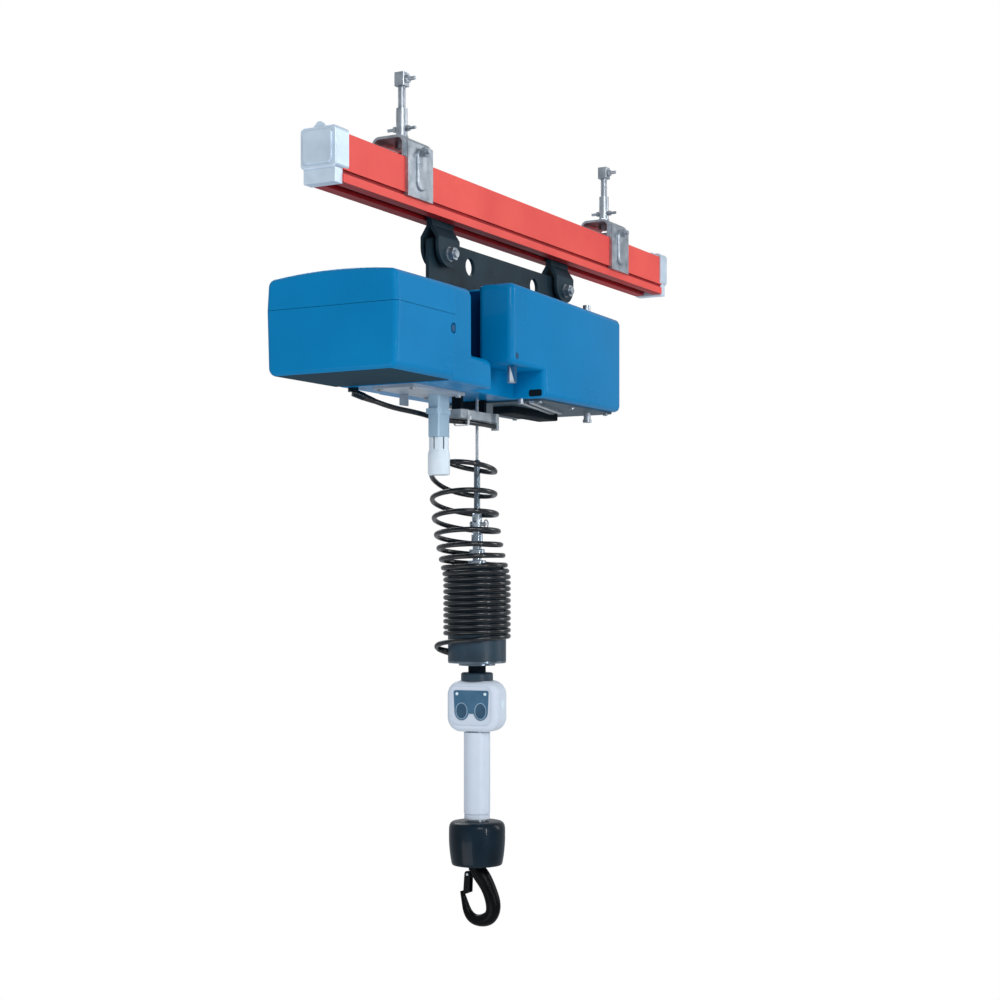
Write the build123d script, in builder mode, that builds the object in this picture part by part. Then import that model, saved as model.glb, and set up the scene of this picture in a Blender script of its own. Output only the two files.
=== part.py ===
from build123d import *
import os
from math import cos, radians, sin, tan

# Rope balancer on an overhead rail, in millimetres, +Z up.
# The origin is midway between the two tapped hanger blocks, in their top plane.
# X runs along the rail, and the control head looks toward -X.

# Runway
rail_length = 1080
rail_width = 56
rail_height = 70
rail_wall = 3
rail_slot = 19
rail_corner = 2.5
lip_thickness = 6
groove_depth = 3.5
groove_height = 5.5
groove_rise = 12
hanger_spacing = 690
hanger_drop = 133

# Hanger parts
block_size = 17
block_height = 20
block_bore = 10.2
block_bore_depth = 15
lock_screw_radius = 3
rod_radius = 5.5
rod_nut_height = 8
rod_nut_flats = 17
sleeve_radius = 8.5
sleeve_length = 40
pin_radius = 2.5
pin_length = 48
pin_nut_flats = 8
pin_nut_height = 5
bridge_height = 32
bridge_length = 76
bridge_wall = 4
bridge_round = 12
jaw_length = 70
jaw_thickness = 5
jaw_rise = 22
bead_width = 26
bead_height = 62
bead_rise = 4
cross_bolt_radius = 4
cross_bolt_flats = 13
cross_bolt_rise = 11
cross_nut_height = 6.5
cross_bolt_tail = 9

# End caps
cap_overlap = 10
cap_depth = 22
cap_wall = 2.2
cap_crown = 6
cap_round = 7
cap_edge = 3
foot_setback = 3
panel_rise = 3
panel_margin = 6
lug_height = 8
lug_width = 20
lug_depth = 7

# Trolleys
rope_x = -120
trolley_spacing = 392
trolley_middle = 82
wheelbase = 50
wheel_radius = 22
wheel_end_gap = 1
wheel_gap = 10
axle_radius = 4
yoke_plate = 5
yoke_width = 64
cheek_half = 16
neck_above_axle = 11
cheek_start = 8
cheek_joggle = 17
cheek_straight = 15
cheek_tip = 29
trolley_bolt_drop = 49
trolley_bolt_radius = 6
trolley_bolt_flats = 18
washer_radius = 11
washer_height = 2
nut_height = 9
bolt_tail = 3.5
spacer_wall = 3

# Suspension plate and frame
plate_thickness = 6
plate_end = 38
plate_below_rail = 27
plate_hole_radius = 14
plate_hole_drop = 27
plate_hole_left = -27
plate_hole_right = 188
plate_corner = 10
window_half = 64
frame_thickness = 6
frame_left = -400
frame_right = 290
frame_near = -50
frame_far = 91
rope_hole_radius = 8

# Rope drive
rope_radius = 2.5
drum_pitch_radius = 40
drum_end_gap = 3
drum_flange = 4
drum_flange_rise = 6
drum_depth = 160
groove_pitch = 8
shaft_radius = 10
bearing_thickness = 7
bearing_radius = 22
gear_radius = 35
gear_length = 50
gear_flange = 10
motor_radius = 33
motor_length = 126
brake_radius = 29
brake_length = 28
shaft_reach = 20

# Housings
wall = 4
housing_bottom = -463
box_left = -413
box_right = -248
box_half = 110.5
box_draft = 3
box_shoulder = -326
box_crown = 7
box_seam = -370
seam_gap = 0.6
box_edge = 8
box_corner = 12
gear_half = 97
gear_top = -322
gear_front = -190
gear_foot_top = -418
gear_foot_front = -115
gear_round = 20
gear_edge = 8
tunnel_near = -54
tunnel_top = -422
tunnel_end = 23
cover_half = 110
cover_left = -85
cover_right = 306
cover_top_left = -296.5
cover_top_right = -306
cover_round = 11
cover_edge = 9
slot_height = 11
slot_reach = 29
slot_floor = 2.5
recess_radius = 8
recess_depth = 5
screw_radius = 5.5
spacer_x = -60
spacer_y = -96
spacer_flats = 13
spacer_length = 26
dome_x = 28.8
dome_y = -64
dome_radius = 5
dome_height = 8
plug_stem_x = 250
plug_stem_y = -72
plug_stem_radius = 6
plug_stem_length = 16
plug_head_radius = 7.5
plug_head_height = 5

# Supply gland on the roof
gland_x = 262
gland_y = -65
gland_stem = 6
gland_radius = 8
gland_height = 22
plug_x = 288
plug_radius = 5
plug_height = 8

# Control unit inside the left box
unit_x = -325
unit_y = 20
unit_length = 130
unit_width = 120
unit_height = 80
unit_round = 4
unit_foot_height = 12
unit_foot_radius = 5
unit_foot_inset = 15

# Underside
tray_thickness = 3
tray_left = 35
tray_right = 300
tray_half = 98
strip_length = 184
strip_width = 8
strip_height = 4
strip_turn = 12.9
strip_x = 127
strip_y = -50.5
strip_spacing = 15
belly_left = 87
belly_right = 250
belly_half = 19
belly_height = 12
cable_plate_thickness = 5
cable_plate_left = -245
cable_plate_right = -96
cable_plate_near = -35
cable_plate_far = 40
leg_width = 20
leg_length = 17
leg_thickness = 4
leg_x = -158
guide_left = 21
guide_right = 31
guide_near = 11
guide_far = 60
guide_height = 13
bar_left = -66
bar_right = 38
bar_near = -10
bar_far = 14
bar_height = 14
bar_drop = 21
bar_hole = 4.5
bar_leg = 8
socket_length = 6
socket_width = 12
socket_drop = 12

# Cable post and guide end
post_x = -118
post_length_x = 35
post_length_y = 19
post_wall = 2
post_round = 3
post_drop = 64
clip_wall = 2
clip_height = 8
clip_rise = 35
knob_radius = 3
knob_length = 19
tab_length = 3
guide_end_radius = 18
guide_end_taper = 22
guide_end_length = 36
guide_end_bore = 13
guide_spigot = 12
guide_slit = 2.5
guide_slit_height = 17
nozzle_radius = 6

# Switch lead
lead_radius = 4
lead_gland_radius = 8
lead_gland_height = 6
lead_nozzle_radius = 6
lead_nozzle_length = 18
lead_heading = (0.75, -0.52, -0.3)
lead_x = -234
lead_y = 80

# Rope end, bell and curly cable
sleeve_top = -559
rope_sleeve_radius = 5
rope_sleeve_length = 85
fork_length = 25
fork_radius = 8
fork_gap = 6
fork_pin_radius = 3
fork_ring_radius = 6.5
fork_ring_wire = 1.2
swivel_neck_radius = 7
swivel_block_radii = (9, 12.25, 14.5)
swivel_block_heights = (16, 10, 8)
swivel_gap = 8
bell_radius = 46.3
bell_height = 150
bell_wall = 3
bell_round = 12
base_disc_height = 4
base_flange_radius = 29
base_flange_height = 4
neck_radius = 14
neck_length = 11
swivel_shaft_radius = 7
retainer_radius = 10
retainer_height = 4
cord_radius = 4
coil_radius = 55
coil_top = -561
coil_bottom = -840
coil_straight_top = -735
coil_lean = -41.5

# Control head and grip
facing = 7
puck_radius = 25.5
puck_height = 12.5
head_width = 87
head_height = 81
head_depth = 50
head_shoulder = 23
head_edge = 10
head_wall = 3.5
bezel_width = 69
bezel_height = 62
bezel_round = 12
bezel_depth = 1.2
keypad_top_width = 60
keypad_low_width = 48
keypad_height = 48
keypad_drop = 15
keypad_thickness = 1
button_width = 17
button_height = 23
button_spacing = 32.4
button_drop = 47.5
button_proud = 0.9
button_flange = 1.5
button_skirt = 1.5
lamp_radius = 2.4
lamp_spacing = 47.8
lamp_drop = 20.5
lamp_proud = 0.6
window_height = 14
window_width = 9
window_drop = 37
window_proud = 0.8
core_radius = 15
core_wall = 4
grip_radius = 21
grip_length = 139
grip_ring = 8
grip_groove = 1
grip_play = 1.5
cap_gap = 3

# Lower cap and hook
cap_height = 70
cap_radius = 44.8
cap_low_radius = 39.5
cap_shoulder = 26
cap_taper_start = 43
cap_socket = 10
hook_shank_radius = 9
hook_flange_radius = 14
hook_flange_height = 7
hook_flange_depth = 34
hook_collar_radius = 13.5
hook_collar_drop = 8
hook_throat_drop = 58
latch_pin_radius = 2
latch_pin_y = 14
latch_pin_drop = 16
latch_ear = 5
latch_lug_half = 4
latch_plate = 2.5
latch_reach = 33
latch_width_low = 14

# Fits
fit = 0.05
clearance = 0.3
cord_gap = 0.3

# Levels worked out from the driving dimensions
rail_top = -hanger_drop
rail_bottom = rail_top - rail_height
lip_top = rail_bottom + lip_thickness
rail_inside = rail_width / 2 - groove_depth - rail_wall
groove_low = rail_bottom + groove_rise
groove_high = groove_low + groove_height
hanger_xs = (-hanger_spacing / 2, hanger_spacing / 2)
sleeve_high = rail_top + bridge_height + rod_nut_height + sleeve_length
bridge_top = rail_top + bridge_height
pin_z = sleeve_high - sleeve_length * 0.75
cross_bolt_z = rail_top + cross_bolt_rise
rod_low = bridge_top - bridge_wall - rod_nut_height
jaw_inside = rail_width / 2 + 2 * fit
jaw_outside = jaw_inside + jaw_thickness
axle_z = lip_top + wheel_radius + clearance / 3
trolley_xs = [rope_x + trolley_middle + s * trolley_spacing / 2 for s in (-1, 1)]
trolley_bolt_z = rail_bottom - trolley_bolt_drop
cheek_high = rail_bottom - cheek_start
cheek_low = cheek_high - cheek_joggle
plate_half = plate_thickness / 2
plate_top = rail_bottom - plate_below_rail
plate_left = trolley_middle - trolley_spacing / 2 - plate_end
plate_right = trolley_middle + trolley_spacing / 2 + plate_end - 4
frame_low = housing_bottom + wall
frame_top = frame_low + frame_thickness
drum_z = rail_bottom - drum_depth
drum_half = window_half - drum_flange - drum_end_gap
drum_floor = drum_pitch_radius - rope_radius - 2 * fit
drum_outer = drum_floor + drum_flange_rise
window_top = drum_z + drum_pitch_radius + drum_flange
tray_low = housing_bottom - tray_thickness
cable_plate_low = housing_bottom - cable_plate_thickness
post_low = cable_plate_low - post_drop
bar_low = housing_bottom - bar_drop - bar_height
guide_end_low = post_low - guide_end_taper - guide_end_length
fork_top = sleeve_top - rope_sleeve_length
fork_low = fork_top - fork_length
swivel_low = fork_low - sum(swivel_block_heights) - swivel_gap * 3
bell_top = swivel_low - 1
bell_low = bell_top - bell_height
base_low = bell_low - base_disc_height - base_flange_height - neck_length
retainer_low = base_low + neck_length
retainer_high = retainer_low + retainer_height
puck_top = base_low - clearance
head_top = puck_top - puck_height
head_low = head_top - head_height
grip_low = head_low - grip_length
cap_top = grip_low - cap_gap
cap_low = cap_top - cap_height
core_top = head_top - head_wall
shank_low = cap_low - clearance
hook_axis_z = cap_low - hook_throat_drop


def across(x):
    """Plane across the rail: local x is Y, local y is Z, and it looks toward +X."""
    return Plane(origin=(x, 0, 0), x_dir=(0, 1, 0), z_dir=(1, 0, 0))


def along(y, x=0):
    """Plane along the rail: local x is X from x, local y is Z, and it looks toward -Y."""
    return Plane(origin=(x, y, 0), x_dir=(1, 0, 0), z_dir=(0, -1, 0))


def level(z, x=0, y=0):
    """Level plane at height z with its origin above x, y."""
    return Plane(origin=(x, y, z), x_dir=(1, 0, 0), z_dir=(0, 0, 1))


def turned(z):
    """Level plane on the rope's axis, turned to face as the control head does."""
    turn = radians(facing)
    return Plane(origin=(rope_x, 0, z), x_dir=(cos(turn), sin(turn), 0), z_dir=(0, 0, 1))


def head_face(x):
    """Upright plane of the turned head at local x: local x is the head's width, local y is Z."""
    turn = radians(facing)
    width = (-sin(turn), cos(turn), 0)
    ahead = (cos(turn), sin(turn), 0)
    origin = (rope_x + x * cos(turn), x * sin(turn), 0)
    return Plane(origin=origin, x_dir=width, z_dir=ahead)


def hook_face(x):
    """Upright plane across the rail at local x from the rope: local x is Y, local y is Z."""
    return across(rope_x + x)


def spin():
    """Half plane for turned pieces: local x is the radius from the rope's axis, local y is Z."""
    return Plane(origin=(rope_x, 0, 0), x_dir=(1, 0, 0), z_dir=(0, -1, 0))


rope_axis = Axis((rope_x, 0, 0), (0, 0, 1))


def hexagon(flats):
    """Regular hexagon by its width across flats."""
    return RegularPolygon(radius=flats / 2, side_count=6, major_radius=False)


os.makedirs("parts", exist_ok=True)

# Rail: an open box section whose lips carry the wheels, with a hook groove in each side
with BuildPart() as rail:
    with BuildSketch(across(-rail_length / 2)) as section:
        half = rail_width / 2
        with BuildLine():
            Polyline(
                (0, rail_top),
                (half, rail_top),
                (half, groove_high),
                (half - groove_depth, groove_high),
                (half - groove_depth, groove_low),
                (half, groove_low),
                (half, rail_bottom),
                (rail_slot / 2, rail_bottom),
                (rail_slot / 2, lip_top),
                (rail_inside, lip_top),
                (rail_inside, groove_high + rail_wall),
                (half - rail_wall, groove_high + rail_wall),
                (half - rail_wall, rail_top - rail_wall),
                (0, rail_top - rail_wall),
            )
            mirror(about=Plane.YZ)
        make_face()
        outer = section.vertices().filter_by(lambda v: abs(abs(v.X) - half) < 0.01)
        fillet(outer.group_by(Axis.Y)[-1], rail_corner)
        fillet(outer.group_by(Axis.Y)[0], rail_corner / 2)
    extrude(amount=rail_length)
rail.part.label = "rail"
export_step(rail.part, "parts/rail.step")


def end_cap(side):
    """Cap over one end of the rail, with a raised panel, a lug and a stepped foot."""
    rail_end = side * rail_length / 2
    inner_end = side * (rail_length / 2 - cap_overlap)
    outer_end = side * (rail_length / 2 + cap_depth)
    split_z = groove_high + clearance
    width = rail_width + 2 * cap_wall
    height = rail_top + cap_crown - split_z
    middle_z = split_z + height / 2
    with BuildPart() as cap:
        with BuildSketch(across(inner_end)):
            with Locations((0, middle_z)):
                RectangleRounded(width, height, cap_round)
        extrude(amount=side * (cap_overlap + cap_depth))
        front = cap.faces().sort_by(Axis.X)[0 if side < 0 else -1]
        fillet(front.edges(), cap_edge)
        foot_high = split_z + cap_round
        with BuildSketch(across(rail_end)):
            with Locations((0, (rail_bottom - 2 + foot_high) / 2)):
                Rectangle(rail_width - 4, foot_high - rail_bottom + 2)
        extrude(amount=side * (cap_depth - foot_setback))
        with BuildSketch(across(outer_end)):
            with Locations((0, middle_z)):
                RectangleRounded(width - 2 * panel_margin, height - 2 * panel_margin, cap_round)
        extrude(amount=side * panel_rise)
        panel = cap.faces().sort_by(Axis.X)[0 if side < 0 else -1]
        fillet(panel.edges(), panel_rise / 2)
        with BuildSketch(across(outer_end - side * cap_edge)):
            with BuildLine():
                base = rail_top + cap_crown - 1
                Polyline(
                    (-lug_width / 2, base),
                    (-lug_width / 8, base + lug_height),
                    (lug_width / 8, base + lug_height),
                    (lug_width / 2, base),
                    close=True,
                )
            make_face()
        extrude(amount=-side * lug_depth)
        with BuildSketch(across(inner_end)):
            with Locations((0, (rail_top + 2 * fit + rail_bottom - 10) / 2)):
                Rectangle(rail_width + 4 * fit, rail_height + 10 + 2 * fit)
        extrude(amount=side * cap_overlap, mode=Mode.SUBTRACT)
    return cap


end_cap_left = end_cap(-1)
end_cap_left.part.label = "end_cap_left"
export_step(end_cap_left.part, "parts/end_cap_left.step")

end_cap_right = end_cap(1)
end_cap_right.part.label = "end_cap_right"
export_step(end_cap_right.part, "parts/end_cap_right.step")

# Hanger bridges: arched channels that straddle the rail's top, open toward the rail's ends
with BuildPart() as hanger_bridges:
    for x in hanger_xs:
        with BuildSketch(across(x - bridge_length / 2)) as arch:
            with Locations((0, rail_top)):
                Rectangle(rail_width, bridge_height, align=(Align.CENTER, Align.MIN))
            fillet(arch.vertices().group_by(Axis.Y)[-1], bridge_round)
            offset(amount=-bridge_wall, mode=Mode.SUBTRACT)
            with Locations((0, rail_top)):
                Rectangle(
                    rail_width - 2 * bridge_wall,
                    bridge_height / 2,
                    align=(Align.CENTER, Align.MIN),
                    mode=Mode.SUBTRACT,
                )
        extrude(amount=bridge_length)
    with Locations(*[(x, 0, bridge_top) for x in hanger_xs]):
        Hole(rod_radius + 2 * fit, depth=2 * bridge_wall)
    with Locations(*[(x, 0, cross_bolt_z) for x in hanger_xs]):
        Cylinder(cross_bolt_radius + fit, 2 * rail_width, rotation=(90, 0, 0), mode=Mode.SUBTRACT)
hanger_bridges.part.label = "hanger_bridges"
export_step(hanger_bridges.part, "parts/hanger_bridges.step")

# Hanger jaws: pressed plates whose lower lips hook into the rail's grooves
with BuildPart() as hanger_jaws:
    for x in hanger_xs:
        for side in (-1, 1):
            with BuildSketch(across(x - jaw_length / 2)):
                lip_in = rail_width / 2 - groove_depth + clearance
                lip_low = groove_low + clearance
                jaw_top = rail_top + jaw_rise
                with BuildLine():
                    Polyline(
                        (side * jaw_inside, jaw_top),
                        (side * jaw_outside, jaw_top),
                        (side * jaw_outside, lip_low),
                        (side * lip_in, lip_low),
                        (side * lip_in, groove_high),
                        (side * jaw_inside, groove_high),
                        close=True,
                    )
                make_face()
            extrude(amount=jaw_length)
            with BuildSketch(along(side * jaw_outside, x)) as bead:
                with Locations((0, (groove_high + rail_top + jaw_rise) / 2)):
                    SlotOverall(bead_height, bead_width, rotation=90)
            extrude(amount=-side * bead_rise)
    outsides = hanger_jaws.faces().filter_by(Axis.Y)
    near_edges = outsides.sort_by(Axis.Y)[:2].edges()
    far_edges = outsides.sort_by(Axis.Y)[-2:].edges()
    fillet(near_edges + far_edges, bead_rise * 0.75)
    with Locations(*[(x, 0, cross_bolt_z) for x in hanger_xs]):
        Cylinder(cross_bolt_radius + fit, 2 * rail_width, rotation=(90, 0, 0), mode=Mode.SUBTRACT)
hanger_jaws.part.label = "hanger_jaws"
export_step(hanger_jaws.part, "parts/hanger_jaws.step")

# Hanger rods: each ends in a square block with a tapped hole for the ceiling bolt
with BuildPart() as hanger_rods:
    for x in hanger_xs:
        with BuildSketch(level(-block_height, x)) as block:
            Rectangle(block_size, block_size)
            chamfer(block.vertices(), 1)
        extrude(amount=block_height)
        with BuildSketch(level(rod_low - 1, x)):
            Circle(rod_radius)
        extrude(amount=-block_height - rod_low + 1)
    with Locations(*[(x, 0, 0) for x in hanger_xs]):
        Hole(block_bore / 2, depth=block_bore_depth)
    with Locations(*[(x, 0, pin_z) for x in hanger_xs]):
        Cylinder(pin_radius + fit, 4 * rod_radius, rotation=(90, 0, 0), mode=Mode.SUBTRACT)
    screw_seat = block_size / 2 - (block_size - block_bore) / 2 + 1
    for x in hanger_xs:
        with BuildSketch(along(-screw_seat, x)):
            with Locations((0, -block_height / 2)):
                Circle(lock_screw_radius + fit)
        extrude(amount=block_size, mode=Mode.SUBTRACT)
hanger_rods.part.label = "hanger_rods"
export_step(hanger_rods.part, "parts/hanger_rods.step")

# Hanger sleeves: lock sleeves round the rods, standing on the upper rod nuts
with BuildPart() as hanger_sleeves:
    for x in hanger_xs:
        with BuildSketch(level(bridge_top + rod_nut_height, x)):
            Circle(sleeve_radius)
            Circle(rod_radius + fit, mode=Mode.SUBTRACT)
        extrude(amount=sleeve_length)
    with Locations(*[(x, 0, pin_z) for x in hanger_xs]):
        Cylinder(pin_radius + fit, 4 * sleeve_radius, rotation=(90, 0, 0), mode=Mode.SUBTRACT)
hanger_sleeves.part.label = "hanger_sleeves"
export_step(hanger_sleeves.part, "parts/hanger_sleeves.step")

# Hanger bolts: rod nuts, cross pins, cross bolts and lock screws
with BuildPart() as hanger_bolts:
    for x in hanger_xs:
        for z in (bridge_top, rod_low):
            with BuildSketch(level(z, x)):
                hexagon(rod_nut_flats)
                Circle(rod_radius + fit, mode=Mode.SUBTRACT)
            extrude(amount=rod_nut_height)
        with BuildSketch(along(pin_length / 2, x)):
            with Locations((0, pin_z)):
                Circle(pin_radius)
        extrude(amount=pin_length)
        for y in (sleeve_radius + clearance + pin_nut_height, -sleeve_radius - clearance):
            with BuildSketch(along(y, x)):
                with Locations((0, pin_z)):
                    hexagon(pin_nut_flats)
            extrude(amount=pin_nut_height)
        with BuildSketch(along(jaw_outside + cross_nut_height, x)):
            with Locations((0, cross_bolt_z)):
                Circle(cross_bolt_radius)
        extrude(amount=2 * (jaw_outside + cross_nut_height) + cross_bolt_tail)
        seat = jaw_outside + bead_rise
        for y in (seat + cross_nut_height, -seat):
            with BuildSketch(along(y, x)):
                with Locations((0, cross_bolt_z)):
                    hexagon(cross_bolt_flats)
            extrude(amount=cross_nut_height)
        with BuildSketch(along(-screw_seat - fit, x)):
            with Locations((0, -block_height / 2)):
                Circle(lock_screw_radius)
        extrude(amount=block_size)
        with BuildSketch(along(-block_size / 2 - fit, x)):
            with Locations((0, -block_height / 2)):
                hexagon(10)
        extrude(amount=pin_nut_height)
hanger_bolts.part.label = "hanger_bolts"
export_step(hanger_bolts.part, "parts/hanger_bolts.step")


def trolley_yoke(x):
    """Two joggled cheek plates, back to back in the rail's slot and spread below it."""
    with BuildPart() as yoke:
        with BuildSketch(across(x - yoke_width / 2)):
            inner = cheek_half - yoke_plate
            bend = yoke_plate * tan(radians(22))
            with BuildLine():
                Polyline(
                    (fit, axle_z + neck_above_axle),
                    (yoke_plate, axle_z + neck_above_axle),
                    (yoke_plate, cheek_high),
                    (cheek_half, cheek_low),
                    (cheek_half, trolley_bolt_z - 2 * cheek_tip),
                    (inner, trolley_bolt_z - 2 * cheek_tip),
                    (inner, cheek_low - bend),
                    (fit, cheek_high - bend),
                    close=True,
                )
            make_face()
            mirror(about=Plane.YZ)
        extrude(amount=yoke_width)
        with BuildSketch(along(cheek_half + 1, x)):
            low = cheek_low - cheek_straight
            with Locations((0, low)):
                Ellipse(yoke_width / 2, cheek_tip)
                Rectangle(
                    yoke_width,
                    axle_z + neck_above_axle - low,
                    align=(Align.CENTER, Align.MIN),
                )
        extrude(amount=2 * cheek_half + 2, mode=Mode.INTERSECT)
        with Locations((x, 0, trolley_bolt_z)):
            Cylinder(trolley_bolt_radius + fit, 4 * cheek_half, rotation=(90, 0, 0), mode=Mode.SUBTRACT)
        with Locations((x - wheelbase / 2, 0, axle_z), (x + wheelbase / 2, 0, axle_z)):
            Cylinder(axle_radius + fit, 4 * yoke_plate, rotation=(90, 0, 0), mode=Mode.SUBTRACT)
    return yoke


trolley_yoke_left = trolley_yoke(trolley_xs[0])
trolley_yoke_left.part.label = "trolley_yoke_left"
export_step(trolley_yoke_left.part, "parts/trolley_yoke_left.step")

trolley_yoke_right = trolley_yoke(trolley_xs[1])
trolley_yoke_right.part.label = "trolley_yoke_right"
export_step(trolley_yoke_right.part, "parts/trolley_yoke_right.step")


def wheelset(x):
    """Axle with its two crowned wheels, turned about the axle's axis."""
    with BuildPart() as turned_set:
        with BuildSketch(Plane(origin=(x, 0, axle_z), x_dir=(0, 1, 0), z_dir=(1, 0, 0))):
            shoulder = yoke_plate + clearance
            outside = rail_inside - wheel_end_gap
            with BuildLine():
                Polyline(
                    (0, axle_radius),
                    (shoulder, axle_radius),
                    (shoulder, 2 * axle_radius),
                    (wheel_gap, 2 * axle_radius),
                    (wheel_gap, wheel_radius - 1),
                    (wheel_gap + 1, wheel_radius),
                    (outside - 1, wheel_radius),
                    (outside, wheel_radius - 1),
                    (outside, wheel_radius - 4),
                    (outside - 2, wheel_radius - 5),
                    (outside - 2, 2 * axle_radius),
                    (outside + wheel_end_gap / 2, axle_radius * 1.4),
                    (outside + wheel_end_gap / 2, 0),
                    (0, 0),
                )
                mirror(about=Plane.YZ)
            make_face()
        revolve(axis=Axis((x, 0, axle_z), (0, 1, 0)))
    return turned_set


wheel_xs = [x + s * wheelbase / 2 for x in trolley_xs for s in (-1, 1)]
for number, x in enumerate(wheel_xs, start=1):
    wheels = wheelset(x)
    wheels.part.label = f"wheelset_{number}"
    export_step(wheels.part, f"parts/wheelset_{number}.step")

# Trolley bolts: they carry the suspension plate between the cheeks
with BuildPart() as trolley_bolts:
    for x in trolley_xs:
        shank_far = cheek_half + fit
        reach = washer_height + nut_height
        with BuildSketch(along(shank_far + nut_height, x)):
            with Locations((0, trolley_bolt_z)):
                hexagon(trolley_bolt_flats)
        extrude(amount=nut_height)
        with BuildSketch(along(shank_far + nut_height / 2, x)):
            with Locations((0, trolley_bolt_z)):
                Circle(trolley_bolt_radius)
        extrude(amount=2 * shank_far + nut_height / 2 + reach + bolt_tail)
        with BuildSketch(along(-shank_far, x)):
            with Locations((0, trolley_bolt_z)):
                Circle(washer_radius)
        extrude(amount=washer_height)
        with BuildSketch(along(-shank_far - washer_height, x)):
            with Locations((0, trolley_bolt_z)):
                hexagon(trolley_bolt_flats)
        extrude(amount=nut_height)
trolley_bolts.part.label = "trolley_bolts"
export_step(trolley_bolts.part, "parts/trolley_bolts.step")

# Trolley spacers: they centre the plate between the cheeks
with BuildPart() as trolley_spacers:
    for x in trolley_xs:
        for side in (-1, 1):
            start = side * (plate_half + fit)
            with BuildSketch(along(start, x)):
                with Locations((0, trolley_bolt_z)):
                    Circle(trolley_bolt_radius + spacer_wall)
                    Circle(trolley_bolt_radius + fit, mode=Mode.SUBTRACT)
            extrude(amount=-side * (cheek_half - yoke_plate - plate_half - 2 * fit))
trolley_spacers.part.label = "trolley_spacers"
export_step(trolley_spacers.part, "parts/trolley_spacers.step")

# Suspension plate: an upside-down U that hangs in the yokes and straddles the drum
with BuildPart() as suspension_plate:
    with BuildSketch(along(plate_half, rope_x)) as outline:
        with BuildLine():
            Polyline(
                (plate_left, plate_top),
                (plate_right, plate_top),
                (plate_right, frame_top),
                (window_half, frame_top),
                (window_half, window_top),
                (-window_half, window_top),
                (-window_half, frame_top),
                (plate_left, frame_top),
                close=True,
            )
        make_face()
        fillet(outline.vertices().group_by(Axis.Y)[-1], plate_corner)
        inner_corners = outline.vertices().filter_by(lambda v: abs(v.Y - window_top) < 0.01)
        fillet(inner_corners, 2 * plate_corner)
        with Locations(
            (plate_hole_left, plate_top - plate_hole_drop),
            (plate_hole_right, plate_top - plate_hole_drop),
        ):
            Circle(plate_hole_radius, mode=Mode.SUBTRACT)
        bolt_x = [x - rope_x for x in trolley_xs]
        with Locations(*[(x, trolley_bolt_z) for x in bolt_x]):
            Circle(trolley_bolt_radius + fit, mode=Mode.SUBTRACT)
    extrude(amount=plate_thickness)
suspension_plate.part.label = "suspension_plate"
export_step(suspension_plate.part, "parts/suspension_plate.step")

# Base plate: the frame on which the plate's legs and the control unit stand
with BuildPart() as base_plate:
    with BuildSketch(level(frame_low, rope_x)) as frame:
        with Locations(((frame_left + frame_right) / 2, (frame_near + frame_far) / 2)):
            Rectangle(frame_right - frame_left, frame_far - frame_near)
        fillet(frame.vertices(), plate_corner)
        Circle(rope_hole_radius, mode=Mode.SUBTRACT)
    extrude(amount=frame_thickness)
base_plate.part.label = "base_plate"
export_step(base_plate.part, "parts/base_plate.step")


def control_shell(keep):
    """Upper or lower shell of the control box: crowned roof, drafted sides, round edges."""
    with BuildPart() as shell:
        with BuildSketch(across(rope_x + box_left)):
            low_half = box_half - box_draft
            with BuildLine():
                ThreePointArc(
                    (-low_half, box_shoulder),
                    (0, box_shoulder + box_crown),
                    (low_half, box_shoulder),
                )
                Polyline((low_half, box_shoulder), (box_half, box_seam), (low_half, housing_bottom))
                Line((low_half, housing_bottom), (-low_half, housing_bottom))
                Polyline(
                    (-low_half, housing_bottom), (-box_half, box_seam), (-low_half, box_shoulder)
                )
            make_face()
        extrude(amount=box_right - box_left)
        long_edges = shell.edges().filter_by(Axis.X)
        corners = long_edges.filter_by(lambda e: abs(e.center().Z - box_seam) > 1)
        fillet(corners, box_corner)
        ends = shell.faces().filter_by(Axis.X)
        fillet(ends.edges(), box_edge)
        offset(amount=-wall, mode=Mode.SUBTRACT)
        window_low = frame_low - clearance
        with BuildSketch(across(rope_x + box_right - 2 * wall)):
            with Locations(((frame_near + frame_far) / 2, (window_low + frame_top + 1) / 2)):
                Rectangle(frame_far - frame_near + 2, frame_top + 1 - window_low)
        extrude(amount=4 * wall, mode=Mode.SUBTRACT)
        with BuildSketch(along(-box_half + recess_depth - 1, rope_x)):
            with Locations((box_right - 1.5 * recess_radius, box_seam - 2.5 * recess_radius)):
                Circle(recess_radius)
        extrude(amount=2 * recess_depth, mode=Mode.SUBTRACT)
        level_z = box_seam + (seam_gap / 2 if keep == Keep.TOP else -seam_gap / 2)
        split(bisect_by=Plane.XY.offset(level_z), keep=keep)
    return shell


control_cover_upper = control_shell(Keep.TOP)
control_cover_upper.part.label = "control_cover_upper"
export_step(control_cover_upper.part, "parts/control_cover_upper.step")

control_cover_lower = control_shell(Keep.BOTTOM)
control_cover_lower.part.label = "control_cover_lower"
export_step(control_cover_lower.part, "parts/control_cover_lower.step")

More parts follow.
